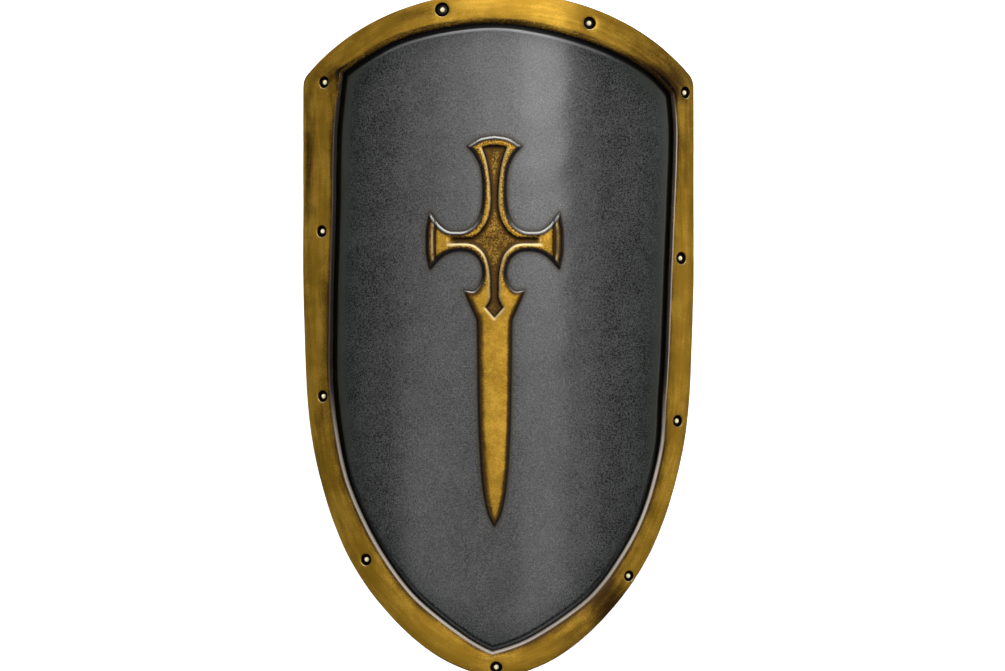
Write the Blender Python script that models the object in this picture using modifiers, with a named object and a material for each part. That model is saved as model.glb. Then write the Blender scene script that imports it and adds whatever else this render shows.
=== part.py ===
"""Kite shield: a bent moulded board with a raised rim, sunk studs, a cross in relief and straps behind.

The shield lies face up: +Y is its top, +X its right as seen from the front, and z = 0 the ground under its
two side edges. Every piece is drawn on the flat sheet first. There x runs across, y along and z is the height
above the panel's face, so that the back is at -BOARD_THICKNESS. The sheet is then bent about the Y axis.
"""

import math

import bmesh
import bpy
from mathutils import Matrix, Vector

# Driving sizes, in metres.
SHIELD_LENGTH = 0.900
FLAT_WIDTH = 0.569  # across the sheet before it is bent
BEND_RADIUS = 0.410  # of the panel's face
BOARD_THICKNESS = 0.015  # back to panel face
FIELD_RISE = 0.003  # the panel stands this much above the ledge that carries the rim
FOOT_TRIM = 0.003  # cut off flat under the two side edges, where the shield lies
GAP = 0.0003  # between pieces that touch

TOP_ARC_RADIUS = 0.437
CORNER_RADIUS = 0.022

RIM_HEIGHT = 0.010  # above the ledge
RIM_SETBACK = 0.001  # of the rim's outer edge from the board's edge
RIM_OUTER_ROUNDING = 0.0035
RIM_INNER_SLOPE = 0.005
GROOVE_WIDTH = 0.0035  # between the foot of the rim's inner wall and the panel's shoulder

# The sides from the top corner to the foot: height above the middle as a share of the length, half width as a
# share of the widest, and the rim's width on the left and on the right. The rim is wider on the left.
SIDE_STATIONS = (
    (0.300, 1.000, 0.0545, 0.0310),
    (0.190, 1.000, 0.0523, 0.0350),
    (0.082, 1.000, 0.0488, 0.0400),
    (-0.038, 0.985, 0.0426, 0.0409),
    (-0.098, 0.9715, 0.0417, 0.0415),
    (-0.158, 0.943, 0.0423, 0.0368),
    (-0.217, 0.8905, 0.0420, 0.0352),
    (-0.276, 0.8185, 0.0472, 0.0354),
    (-0.334, 0.721, 0.0527, 0.0404),
    (-0.391, 0.581, 0.0570, 0.0456),
    (-0.447, 0.393, 0.0701, 0.0696),
)
FOOT_STATION = (-0.483, 0.208)  # the last place on the side above the rounded foot
# The rim's inner edge along the top: place as a share of the half width, depth below the top arc.
RIM_TOP_STATIONS = (
    (0.871, 0.0480),
    (0.731, 0.0422),
    (0.425, 0.0428),
    (0.000, 0.0374),
    (-0.454, 0.0356),
    (-0.772, 0.0394),
)
RIM_FOOT_DEPTH = 0.0297
RIM_FOOT_SHIFT = -0.008  # the rim's lower inner corner lies left of the middle

# Studs: sunk in round sockets of these mouth radii, at hand-set places.
SOCKET_DEPTH = 0.0070
SOCKET_TAPER = 0.0020  # the mouth is this much wider than the floor, in radius
STUD_DISC_CLEARANCE = 0.0012  # between the disc under a stud and the socket's wall
STUD_DISC_HEIGHT = 0.0015
STUD_RADIUS = 0.0031
STUD_DOME_SHARE = 0.75  # height of a stud's dome as a share of its radius
STUD_NECK = 0.0012
SIDE_STUDS = (
    # side (-1 is left), height as a share of the length, distance in from the edge, mouth radius
    (-1, 0.376, 0.0395, 0.0078),
    (1, 0.362, 0.0175, 0.0076),
    (-1, 0.154, 0.0356, 0.0078),
    (1, 0.114, 0.0247, 0.0080),
    (-1, -0.092, 0.0296, 0.0076),
    (1, -0.129, 0.0194, 0.0076),
    (-1, -0.332, 0.0274, 0.0076),
    (1, -0.356, 0.0150, 0.0068),
)
TOP_STUDS = (
    # place as a share of the half width, depth below the top arc, mouth radius
    (-0.257, 0.0171, 0.0090),
    (0.424, 0.0224, 0.0080),
)
FOOT_STUD = (-0.0026, 0.0137, 0.0074)  # place, height above the foot, mouth radius

# The cross. Its drawing is in thousandths of its own length, with the crossing of the limbs at 0, 0.
EMBLEM_LENGTH = 0.510
EMBLEM_SHIFT = -0.0049  # of its axis from the shield's middle
EMBLEM_HEIGHT_SHARE = 0.1363  # of its crossing above the shield's middle, as a share of the length
EMBLEM_RISE = 0.0055
EMBLEM_FLANK = 0.0026
CHANNEL_DEPTH = 0.0028
CHANNEL_FLANK = 0.0010
END_GROOVE_WIDTH = 0.0024
END_GROOVE_DEPTH = 0.0014
BLADE_TIP_THINNING = 0.45  # share of its rise that the blade loses at its tip
BLADE_THINNING_LENGTH = 0.110
BLADE_CUTS = 4  # across the blade, where it grows thinner

CROWN = ((0.0, 266.0), (34.0, 260.0), (63.0, 243.0))
UPPER_HOLLOW = (
    (63, 243), (49, 227), (35, 200), (27.8, 170), (25.7, 136), (27, 98), (33.5, 65.5),
    (46.3, 40), (72, 22.6), (98, 19.5), (123, 23), (146.5, 40), (166, 65),
)
ARM_END = ((166, 65), (172.5, 28), (173, 0), (172.5, -30), (166, -63))
LOWER_HOLLOW = (
    (166, -63), (149, -45), (131, -31), (108, -22.6), (85, -20.6), (62, -24.4), (42.5, -37.3),
    (31, -56.5), (26.2, -80), (28, -98), (38, -122), (52.7, -134), (70.7, -132.5),
)
PRONG = ((70.7, -132.5), (64, -149), (53.5, -172), (41.5, -199))
BLADE = (
    (41.5, -199), (39.2, -229), (37, -409), (32.4, -537), (27, -614), (19.8, -666), (10.2, -704), (0, -725),
)
CHANNEL_TOP = ((0, 248), (18, 247), (34.7, 241.6))
CHANNEL_UPPER = (
    (34.7, 241.6), (24.4, 213), (18, 182.5), (13.6, 149), (11.8, 113), (12.9, 85), (19.3, 56.6),
    (33.4, 30.8), (52.7, 14), (70.7, 10.3), (119.5, 10.3),
)
CHANNEL_LOWER = (
    (119.5, -9), (69.4, -9), (46.3, -16.7), (27, -36), (18, -61.7), (13.6, -90), (12.9, -123.4),
    (13.4, -149), (24.4, -172.2),
)
CHANNEL_FOOT = ((24.4, -172.2), (12.2, -186.4), (0, -200.5))
END_GROOVE = ((160.5, 58), (164, 27), (164.5, 0), (164, -30), (160.5, -57))
END_GROOVE_INSET = 7.0  # of the groove inside the arm's end, in the drawing's units

# Straps behind: two bands across the forearm and the hand, each with two riveted ends.
STRAP_THICKNESS = 0.0040
ARM_STRAP = {"across": -0.095, "along": 0.060, "width": 0.050, "loop": 0.112, "tab": 0.038, "depth": 0.058}
HAND_STRAP = {"across": 0.090, "along": 0.060, "width": 0.034, "loop": 0.100, "tab": 0.032, "depth": 0.044}
RIVET_RADIUS = 0.0070
RIVET_HEIGHT = 0.0035
RIVET_PLACE = 0.6  # along a strap's flat end, as a share of that end

# A strap's bow: place along as a share of half its loop, distance off the board as a share of its depth.
STRAP_BOW = ((1.0, 0.0), (0.88, 0.10), (0.72, 0.45), (0.52, 0.84), (0.24, 0.98), (0.0, 1.0))

# How finely the curves are drawn and the sheet is bent.
STRIP_WIDTH = 0.0220
TOP_ARC_STEPS = 10
CORNER_STEPS = 4
SIDE_STEPS = 2
EMBLEM_STEPS = 2
SOCKET_SIDES = 20
STUD_SIDES = 12
DOME_STEPS = 3
STRAP_STEPS = 2
OUTER_ROUNDING_STEPS = 2

# Tolerances of the making, not sizes of the shield.
WELD_DISTANCE = 0.00001
CUT_DISTANCE = 0.00002
LEVEL_TOLERANCE = 0.00001
CUTTER_OVERSHOOT = 0.001  # of a socket's cutter above the rim
FLAT_ANGLE = math.radians(0.2)  # faces that turn less than this lie in one plane
SHARP_ANGLE = math.radians(35)
STEEP = 0.5  # a face is a wall where its normal rises less than this
MITRE_LIMIT = 0.5  # keeps an inset corner from running further than twice its distance
ROUND_PROFILE = 0.5  # the bevel's shape that is an arc

DRAWING_UNIT = EMBLEM_LENGTH / 1000
HALF_WIDTH = FLAT_WIDTH / 2
HALF_LENGTH = SHIELD_LENGTH / 2
EDGE_ANGLE = HALF_WIDTH / BEND_RADIUS
FLOOR_LEVEL = (BEND_RADIUS - BOARD_THICKNESS) * math.cos(EDGE_ANGLE) + FOOT_TRIM
LEDGE = -FIELD_RISE
BACK = -BOARD_THICKNESS
RIM_TOP = LEDGE + RIM_HEIGHT


def smooth_curve(points, steps, before=None, after=None):
    """Points on a Catmull-Rom curve through the given ones, which may have a guide point beyond each end."""
    first = before or (2 * points[0][0] - points[1][0], 2 * points[0][1] - points[1][1])
    last = after or (2 * points[-1][0] - points[-2][0], 2 * points[-1][1] - points[-2][1])
    guide = [first, *points, last]
    curve = []
    for a, b, c, d in zip(guide, guide[1:], guide[2:], guide[3:]):
        for step in range(steps):
            u = step / steps
            weights = (
                (-u + 2 * u**2 - u**3) / 2,
                (2 - 5 * u**2 + 3 * u**3) / 2,
                (u + 4 * u**2 - 3 * u**3) / 2,
                (-(u**2) + u**3) / 2,
            )
            curve.append(tuple(sum(w * p[k] for w, p in zip(weights, (a, b, c, d))) for k in (0, 1)))
    return curve + [tuple(points[-1])]


def inset(outline, distance):
    """The closed anticlockwise outline moved inwards, each corner along its bisector."""
    moved = []
    for before, here, after in zip(outline[-1:] + outline[:-1], outline, outline[1:] + outline[:1]):
        into = (Vector(here) - Vector(before)).normalized()
        out = (Vector(after) - Vector(here)).normalized()
        normal = Vector((-into.y - out.y, into.x + out.x)).normalized()
        reach = distance / max(normal.dot(Vector((-into.y, into.x))), MITRE_LIMIT)
        moved.append((here[0] + normal.x * reach, here[1] + normal.y * reach))
    return moved


def top_arc(x):
    """Height of the sheet's top edge at x, before its corners are rounded."""
    return HALF_LENGTH - TOP_ARC_RADIUS + math.sqrt(TOP_ARC_RADIUS**2 - x**2)


def half_outline():
    """The sheet's right edge, from the middle of the top, round the corner and down to the foot."""
    arc_centre = HALF_LENGTH - TOP_ARC_RADIUS
    corner_x = HALF_WIDTH - CORNER_RADIUS
    corner_y = arc_centre + math.sqrt((TOP_ARC_RADIUS - CORNER_RADIUS) ** 2 - corner_x**2)
    arc_end = math.atan2(corner_x, corner_y - arc_centre)
    edge = []
    for step in range(TOP_ARC_STEPS):
        angle = arc_end * step / TOP_ARC_STEPS
        edge.append((TOP_ARC_RADIUS * math.sin(angle), arc_centre + TOP_ARC_RADIUS * math.cos(angle)))
    for step in range(CORNER_STEPS + 1):
        angle = arc_end + (math.pi / 2 - arc_end) * step / CORNER_STEPS
        edge.append((corner_x + CORNER_RADIUS * math.sin(angle), corner_y + CORNER_RADIUS * math.cos(angle)))
    stations = [(share * HALF_WIDTH, height * SHIELD_LENGTH) for height, share, _, _ in SIDE_STATIONS]
    last = (FOOT_STATION[1] * HALF_WIDTH, FOOT_STATION[0] * SHIELD_LENGTH)
    stations += [last, (0.0, -HALF_LENGTH)]
    return edge + smooth_curve(stations, SIDE_STEPS, after=(-last[0], last[1]))


def sheet_outline():
    """The whole sheet's edge, anticlockwise from the middle of the top."""
    right = half_outline()
    left = [(-x, y) for x, y in right[1:-1]]
    return [right[0]] + left + [right[-1]] + right[-2:0:-1]


def half_width_at(y):
    """Half the sheet's width at a height on its sides."""
    side = [point for point in half_outline() if point[1] <= SIDE_STATIONS[0][0] * SHIELD_LENGTH]
    if y >= side[0][1]:
        return HALF_WIDTH
    for above, below in zip(side, side[1:]):
        if below[1] <= y <= above[1]:
            share = (above[1] - y) / (above[1] - below[1])
            return above[0] + share * (below[0] - above[0])
    return 0.0


def window_outline():
    """The rim's inner upper edge, anticlockwise from its right corner."""
    top = [(share * HALF_WIDTH, top_arc(share * HALF_WIDTH) - depth) for share, depth in RIM_TOP_STATIONS]
    foot = (RIM_FOOT_SHIFT, -HALF_LENGTH + RIM_FOOT_DEPTH)
    left = [top[-1]]
    right = [top[0]]
    for height, share, rim_left, rim_right in SIDE_STATIONS:
        left.append((rim_left - share * HALF_WIDTH, height * SHIELD_LENGTH))
        right.append((share * HALF_WIDTH - rim_right, height * SHIELD_LENGTH))
    left.append(foot)
    right.append(foot)
    down = smooth_curve(left, SIDE_STEPS)
    up = smooth_curve(right, SIDE_STEPS)[::-1]
    return smooth_curve(top, SIDE_STEPS)[:-1] + down[:-1] + up[:-1]


def collection(name):
    """A new collection in the scene."""
    made = bpy.data.collections.new(name)
    bpy.context.scene.collection.children.link(made)
    return made


def material(name, colour, roughness, metallic):
    """A Principled material."""
    made = bpy.data.materials.new(name)
    made.use_nodes = True
    shader = made.node_tree.nodes["Principled BSDF"]
    shader.inputs["Base Color"].default_value = (*colour, 1.0)
    shader.inputs["Roughness"].default_value = roughness
    shader.inputs["Metallic"].default_value = metallic
    return made


def flat_solid(name, outlines, low, high, bevel=0.0):
    """A mesh object from closed outlines, between two heights, its sides swelling out by the bevel."""
    curve = bpy.data.curves.new(name, "CURVE")
    curve.dimensions = "2D"
    curve.fill_mode = "BOTH"
    curve.extrude = (high - low) / 2 - bevel
    curve.bevel_depth = bevel
    curve.bevel_resolution = 0
    for outline in outlines:
        spline = curve.splines.new("POLY")
        spline.points.add(len(outline) - 1)
        for point, (x, y) in zip(spline.points, outline):
            point.co = (x, y, 0.0, 1.0)
        spline.use_cyclic_u = True
    drawn = bpy.data.objects.new(name + "_curve", curve)
    bpy.context.scene.collection.objects.link(drawn)
    drawn.location.z = (low + high) / 2
    solid = mesh_from(drawn, name)
    bpy.data.objects.remove(drawn)
    return solid


def mesh_from(source, name):
    """A mesh object with the source's evaluated shape in place and its caps welded."""
    bpy.context.view_layer.update()
    evaluated = source.evaluated_get(bpy.context.evaluated_depsgraph_get())
    mesh = bpy.data.meshes.new_from_object(evaluated)
    mesh.transform(source.matrix_world)
    mesh.name = name
    bm = bmesh.new()
    bm.from_mesh(mesh)
    bmesh.ops.remove_doubles(bm, verts=bm.verts, dist=WELD_DISTANCE)
    bmesh.ops.recalc_face_normals(bm, faces=bm.faces)
    bm.to_mesh(mesh)
    bm.free()
    made = bpy.data.objects.new(name, mesh)
    bpy.context.scene.collection.objects.link(made)
    return made


def combine(target, other, operation):
    """The target joined with, or cut by, another solid, which is then removed."""
    boolean = target.modifiers.new("combine", "BOOLEAN")
    boolean.operation = operation
    boolean.object = other
    boolean.solver = "EXACT"
    bpy.context.view_layer.update()
    evaluated = target.evaluated_get(bpy.context.evaluated_depsgraph_get())
    mesh = bpy.data.meshes.new_from_object(evaluated)
    target.modifiers.clear()
    target.data = mesh
    bpy.data.objects.remove(other)


def join(objects):
    """The first object, holding the meshes of them all."""
    bm = bmesh.new()
    for item in objects:
        bm.from_mesh(item.data)
    bm.to_mesh(objects[0].data)
    bm.free()
    for item in objects[1:]:
        bpy.data.objects.remove(item)
    return objects[0]


def cut_flat(bm, point, normal):
    """Removes what lies behind a plane and closes the cut."""
    geometry = bm.verts[:] + bm.edges[:] + bm.faces[:]
    bmesh.ops.bisect_plane(
        bm, geom=geometry, dist=WELD_DISTANCE / 10, plane_co=point, plane_no=normal, clear_inner=True
    )
    rim_edges = [edge for edge in bm.edges if edge.is_boundary]
    bmesh.ops.holes_fill(bm, edges=rim_edges, sides=0)


def merge_flat_faces(bm):
    """Joins neighbouring faces that lie in one plane."""
    bmesh.ops.dissolve_limit(bm, angle_limit=FLAT_ANGLE, verts=bm.verts, edges=bm.edges)


def bent(x, y, z):
    """Where a point of the flat sheet lies once the sheet is bent."""
    angle = x / BEND_RADIUS
    radius = BEND_RADIUS + z
    return Vector((radius * math.sin(angle), y, radius * math.cos(angle) - FLOOR_LEVEL))


def bend(item):
    """Bends a flat piece, after cutting its faces into narrow strips along the shield."""
    bm = bmesh.new()
    bm.from_mesh(item.data)
    merge_flat_faces(bm)
    xs = [vert.co.x for vert in bm.verts]
    first = math.ceil(min(xs) / STRIP_WIDTH)
    last = math.floor(max(xs) / STRIP_WIDTH)
    for strip in range(first, last + 1):
        geometry = bm.verts[:] + bm.edges[:] + bm.faces[:]
        place = (strip * STRIP_WIDTH, 0.0, 0.0)
        across = (1.0, 0.0, 0.0)
        bmesh.ops.bisect_plane(bm, geom=geometry, dist=CUT_DISTANCE, plane_co=place, plane_no=across)
    bmesh.ops.remove_doubles(bm, verts=bm.verts, dist=WELD_DISTANCE)
    bmesh.ops.triangulate(bm, faces=bm.faces)
    for vert in bm.verts:
        vert.co = bent(*vert.co)
    bm.to_mesh(item.data)
    bm.free()


def finish(item, group, surface):
    """Gives a piece its material and shading and puts it in its collection."""
    for owner in list(item.users_collection):
        owner.objects.unlink(item)
    group.objects.link(item)
    item.data.materials.clear()
    item.data.materials.append(surface)
    item.data.shade_smooth()
    item.data.set_sharp_from_angle(angle=SHARP_ANGLE)
    return item


def make_board():
    """The bent board: a ledge all round for the rim, and the panel's field standing on it."""
    board = flat_solid("board", [sheet_outline()], BACK, LEDGE)
    shoulder = RIM_INNER_SLOPE + GROOVE_WIDTH + FIELD_RISE
    field_face = inset(window_outline(), shoulder)
    field = flat_solid("field", [field_face], LEDGE - BOARD_THICKNESS / 2, 0.0, bevel=FIELD_RISE)
    combine(board, field, "UNION")
    bend(board)
    bm = bmesh.new()
    bm.from_mesh(board.data)
    cut_flat(bm, (0.0, 0.0, 0.0), (0.0, 0.0, 1.0))
    bmesh.ops.triangulate(bm, faces=bm.faces)
    bm.to_mesh(board.data)
    bm.free()
    return board


def stud_places():
    """Each stud's place on the flat sheet and its socket's mouth radius, clockwise from the top left."""
    places = []
    for share, depth, radius in TOP_STUDS:
        x = share * HALF_WIDTH
        places.append((x, top_arc(x) - depth, radius))
    for side, height, inwards, radius in SIDE_STUDS:
        y = height * SHIELD_LENGTH
        places.append((side * (half_width_at(y) - inwards), y, radius))
    x, height, radius = FOOT_STUD
    places.append((x, height - HALF_LENGTH, radius))
    return places


def socket_cutter(x, y, radius):
    """A tapered plug that cuts one stud's socket."""
    floor_radius = radius - SOCKET_TAPER
    widening = SOCKET_TAPER * CUTTER_OVERSHOOT / SOCKET_DEPTH
    depth = SOCKET_DEPTH + CUTTER_OVERSHOOT
    middle = RIM_TOP - SOCKET_DEPTH + depth / 2
    bm = bmesh.new()
    bmesh.ops.create_cone(
        bm, cap_ends=True, segments=SOCKET_SIDES, radius1=floor_radius, radius2=radius + widening,
        depth=depth, matrix=Matrix.Translation((x, y, middle)),
    )
    mesh = bpy.data.meshes.new("socket")
    bm.to_mesh(mesh)
    bm.free()
    plug = bpy.data.objects.new("socket", mesh)
    bpy.context.scene.collection.objects.link(plug)
    return plug


def make_rim():
    """The raised rim: rounded outside, sloping down inside, with a socket for each stud."""
    foot = inset(window_outline(), RIM_INNER_SLOPE)
    outside = inset(sheet_outline(), RIM_SETBACK)
    rim = flat_solid("rim", [outside, foot], LEDGE + GAP, RIM_TOP)
    bm = bmesh.new()
    bm.from_mesh(rim.data)
    merge_flat_faces(bm)
    round_upper_edges(bm, {"outer": RIM_OUTER_ROUNDING, "inner": RIM_INNER_SLOPE})
    bm.to_mesh(rim.data)
    bm.free()
    plugs = [socket_cutter(*place) for place in stud_places()]
    combine(rim, join(plugs), "DIFFERENCE")
    bend(rim)
    return rim


def round_upper_edges(bm, widths):
    """Bevels the two loops of edges round a ring's top: an arc outside, one slope inside."""
    top = {vert for vert in bm.verts if abs(vert.co.z - RIM_TOP) < LEVEL_TOLERANCE}
    upper = [edge for edge in bm.edges if top.issuperset(edge.verts)]
    walls = [edge for edge in upper if any(abs(face.normal.z) < STEEP for face in edge.link_faces)]
    outer = []
    inner = []
    for edge in walls:
        wall = next(face for face in edge.link_faces if abs(face.normal.z) < STEEP)
        middle = (edge.verts[0].co + edge.verts[1].co) / 2
        outward = wall.normal.x * middle.x + wall.normal.y * middle.y > 0
        (outer if outward else inner).append(edge)
    bmesh.ops.bevel(bm, geom=inner, offset=widths["inner"], segments=1, affect="EDGES", loop_slide=False)
    outer = [edge for edge in outer if edge.is_valid]
    bmesh.ops.bevel(
        bm, geom=outer, offset=widths["outer"], segments=OUTER_ROUNDING_STEPS, profile=ROUND_PROFILE,
        affect="EDGES", loop_slide=False,
    )


def drawn(points, steps):
    """A stretch of the cross's drawing at its real size, relative to its crossing."""
    return [(x * DRAWING_UNIT, y * DRAWING_UNIT) for x, y in smooth_curve(points, steps)]


def placed(right_half):
    """A closed anticlockwise outline on the sheet from the right half of a drawing, top to bottom."""
    centre_y = EMBLEM_HEIGHT_SHARE * SHIELD_LENGTH
    left_half = [(-x, y) for x, y in right_half[1:-1]]
    outline = [right_half[0]] + left_half + [right_half[-1]] + right_half[-2:0:-1]
    return [(x + EMBLEM_SHIFT, y + centre_y) for x, y in outline]


def emblem_outline():
    """The edge of the cross's face."""
    half = drawn(CROWN, EMBLEM_STEPS)[:-1]
    for stretch in (UPPER_HOLLOW, ARM_END, LOWER_HOLLOW, PRONG):
        half += drawn(stretch, EMBLEM_STEPS)[:-1]
    return placed(half + drawn(BLADE, EMBLEM_STEPS))


def channel_outline():
    """The edge of the sunk channel's floor, from which its walls slope outwards."""
    half = drawn(CHANNEL_TOP, 1)[:-1]
    half += drawn(CHANNEL_UPPER, EMBLEM_STEPS)
    half += drawn(CHANNEL_LOWER, EMBLEM_STEPS)[:-1]
    half += drawn(CHANNEL_FOOT, 1)
    return inset(placed(half), CHANNEL_FLANK)


def end_groove(side):
    """A narrow cutter along the inside of one arm's end."""
    arc = drawn(END_GROOVE, EMBLEM_STEPS)
    inner = [(x - END_GROOVE_WIDTH, y) for x, y in arc]
    strip = [(x - END_GROOVE_INSET * DRAWING_UNIT, y) for x, y in arc + inner[::-1]]
    centre_y = EMBLEM_HEIGHT_SHARE * SHIELD_LENGTH
    outline = [(side * x + EMBLEM_SHIFT, y + centre_y) for x, y in strip]
    low = GAP + EMBLEM_RISE - END_GROOVE_DEPTH
    return flat_solid("end_groove", [outline], low, low + 2 * END_GROOVE_DEPTH)


def make_emblem():
    """The cross in relief, its foot drawn out as a blade, with a sunk channel along its limbs."""
    top = GAP + EMBLEM_RISE
    emblem = flat_solid("emblem", [emblem_outline()], -top, top, bevel=EMBLEM_FLANK)
    floor = top - CHANNEL_DEPTH
    channel = flat_solid("channel", [channel_outline()], floor, top + CHANNEL_DEPTH, bevel=CHANNEL_FLANK)
    combine(emblem, channel, "DIFFERENCE")
    combine(emblem, join([end_groove(-1), end_groove(1)]), "DIFFERENCE")
    bm = bmesh.new()
    bm.from_mesh(emblem.data)
    cut_flat(bm, (0.0, 0.0, GAP), (0.0, 0.0, 1.0))
    thin_blade(bm)
    bm.to_mesh(emblem.data)
    bm.free()
    bend(emblem)
    return emblem


def thin_blade(bm):
    """Lowers the blade towards its tip, along a few cuts across it."""
    tip = EMBLEM_HEIGHT_SHARE * SHIELD_LENGTH + BLADE[-1][1] * DRAWING_UNIT
    for step in range(1, BLADE_CUTS + 1):
        geometry = bm.verts[:] + bm.edges[:] + bm.faces[:]
        place = (0.0, tip + BLADE_THINNING_LENGTH * step / BLADE_CUTS, 0.0)
        along = (0.0, 1.0, 0.0)
        bmesh.ops.bisect_plane(bm, geom=geometry, dist=CUT_DISTANCE, plane_co=place, plane_no=along)
    for vert in bm.verts:
        nearness = min(max(1 - (vert.co.y - tip) / BLADE_THINNING_LENGTH, 0.0), 1.0)
        vert.co.z = GAP + (vert.co.z - GAP) * (1 - BLADE_TIP_THINNING * nearness**2)


def turned(name, profile, sides):
    """A closed solid turned about its own Z axis from a profile of radius and height, top to bottom."""
    mesh = bpy.data.meshes.new(name + "_profile")
    points = [(radius, 0.0, height) for radius, height in profile]
    mesh.from_pydata(points, [(n, n + 1) for n in range(len(points) - 1)], [])
    item = bpy.data.objects.new(name + "_profile", mesh)
    bpy.context.scene.collection.objects.link(item)
    screw = item.modifiers.new("turn", "SCREW")
    screw.angle = math.tau
    screw.steps = sides
    screw.render_steps = sides
    screw.use_merge_vertices = True
    screw.merge_threshold = WELD_DISTANCE
    screw.use_smooth_shade = True
    made = mesh_from(item, name)
    bpy.data.objects.remove(item)
    return made


def dome_profile(radius, height, base):
    """A dome from its top down to its edge at a base height."""
    profile = []
    for step in range(DOME_STEPS + 1):
        angle = math.pi / 2 * step / DOME_STEPS
        profile.append((radius * math.sin(angle), base + height * math.cos(angle)))
    return profile


def set_on_sheet(item, x, y, z, turned_over=False):
    """Stands a turned piece on the bent sheet at a flat place, pointing out or, turned over, inwards."""
    tilt = x / BEND_RADIUS + (math.pi if turned_over else 0.0)
    item.location = bent(x, y, z)
    item.rotation_euler = (0.0, tilt, 0.0)


def make_studs():
    """Each stud: a round head on a thin disc at the bottom of its socket."""
    studs = []
    for number, (x, y, radius) in enumerate(stud_places(), start=1):
        disc = radius - SOCKET_TAPER - STUD_DISC_CLEARANCE
        neck_top = STUD_DISC_HEIGHT + STUD_NECK
        profile = dome_profile(STUD_RADIUS, STUD_RADIUS * STUD_DOME_SHARE, neck_top)
        profile += [(STUD_RADIUS, STUD_DISC_HEIGHT), (disc, STUD_DISC_HEIGHT), (disc, 0.0), (0.0, 0.0)]
        stud = turned(f"stud_{number:02d}", profile, STUD_SIDES)
        set_on_sheet(stud, x, y, RIM_TOP - SOCKET_DEPTH + GAP)
        studs.append(stud)
    return studs


def make_strap(name, strap):
    """A band whose ends lie flat on the back and whose middle stands off it in a bow along the shield."""
    loop = strap["loop"] / 2
    end = loop + strap["tab"]
    half = [(along * loop, off * strap["depth"]) for along, off in STRAP_BOW]
    bow = half + [(-along, off) for along, off in half[-2::-1]]
    outer = smooth_curve(bow, STRAP_STEPS, before=(end, 0.0), after=(-end, 0.0))
    outer = [(end, 0.0)] + outer + [(-end, 0.0)]
    inner = []
    for before, here, after in zip(outer[:1] + outer[:-1], outer, outer[1:] + outer[-1:]):
        course = Vector((after[0] - before[0], after[1] - before[1])).normalized()
        toward_board = min(here[1] + course.x * STRAP_THICKNESS, here[1])
        inner.append((here[0] - course.y * STRAP_THICKNESS, max(toward_board, -STRAP_THICKNESS)))
    band = flat_solid(name, [outer + inner[::-1]], -strap["width"] / 2, strap["width"] / 2)
    stand = BACK - GAP - STRAP_THICKNESS
    for vert in band.data.vertices:
        along, off, across = vert.co
        vert.co = (strap["across"] - across, strap["along"] + along, stand - off)
    bend(band)
    return band


def strap_rivets(name, strap):
    """A domed rivet on each end of a strap."""
    rivets = []
    for number, side in enumerate((1, -1), start=1):
        profile = dome_profile(RIVET_RADIUS, RIVET_HEIGHT, 0.0) + [(0.0, 0.0)]
        rivet = turned(f"{name}_rivet_{number}", profile, STUD_SIDES)
        along = strap["along"] + side * (strap["loop"] / 2 + strap["tab"] * RIVET_PLACE)
        set_on_sheet(rivet, strap["across"], along, BACK - 2 * GAP - STRAP_THICKNESS, turned_over=True)
        rivets.append(rivet)
    return rivets


def main():
    for item in list(bpy.data.objects):
        bpy.data.objects.remove(item)
    parts = collection("kite_shield")
    coat = material("gunmetal_coat", (0.10, 0.10, 0.10), 0.55, 0.3)
    gold = material("gold_coat", (0.55, 0.36, 0.07), 0.38, 0.8)
    stud_gold = material("pale_gold", (0.90, 0.72, 0.36), 0.30, 0.8)
    leather = material("black_leather", (0.03, 0.025, 0.02), 0.60, 0.0)
    steel = material("dark_steel", (0.25, 0.25, 0.25), 0.40, 1.0)
    finish(make_board(), parts, coat)
    finish(make_rim(), parts, gold)
    finish(make_emblem(), parts, gold)
    for stud in make_studs():
        finish(stud, parts, stud_gold)
    for name, strap in (("arm_strap", ARM_STRAP), ("hand_strap", HAND_STRAP)):
        finish(make_strap(name, strap), parts, leather)
        for rivet in strap_rivets(name, strap):
            finish(rivet, parts, steel)


main()
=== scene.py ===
import math

import bmesh
import bpy
import numpy as np
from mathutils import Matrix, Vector
from mathutils.geometry import delaunay_2d_cdt


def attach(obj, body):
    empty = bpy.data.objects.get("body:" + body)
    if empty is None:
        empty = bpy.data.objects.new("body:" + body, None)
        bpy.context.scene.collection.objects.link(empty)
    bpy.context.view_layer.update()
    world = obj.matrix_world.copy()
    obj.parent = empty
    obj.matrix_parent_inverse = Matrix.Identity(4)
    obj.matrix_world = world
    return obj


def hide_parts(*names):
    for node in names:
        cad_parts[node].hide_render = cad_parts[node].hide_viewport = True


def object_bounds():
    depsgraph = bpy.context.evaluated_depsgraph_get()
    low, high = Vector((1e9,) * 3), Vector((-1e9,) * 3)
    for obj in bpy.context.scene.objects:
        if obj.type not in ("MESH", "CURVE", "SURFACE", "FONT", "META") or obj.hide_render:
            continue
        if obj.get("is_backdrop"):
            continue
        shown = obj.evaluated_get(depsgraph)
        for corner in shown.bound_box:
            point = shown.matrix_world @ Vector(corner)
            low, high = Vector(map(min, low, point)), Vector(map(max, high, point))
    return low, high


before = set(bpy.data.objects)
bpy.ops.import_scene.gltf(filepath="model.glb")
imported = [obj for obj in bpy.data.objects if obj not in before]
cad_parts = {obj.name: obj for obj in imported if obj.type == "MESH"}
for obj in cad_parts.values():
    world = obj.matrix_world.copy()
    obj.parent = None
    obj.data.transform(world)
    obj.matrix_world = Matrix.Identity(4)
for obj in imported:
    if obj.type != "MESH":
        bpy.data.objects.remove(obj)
cadLow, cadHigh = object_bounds()
print("frame loaded", [round(v, 4) for v in (*cadLow, *cadHigh)])

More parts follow.
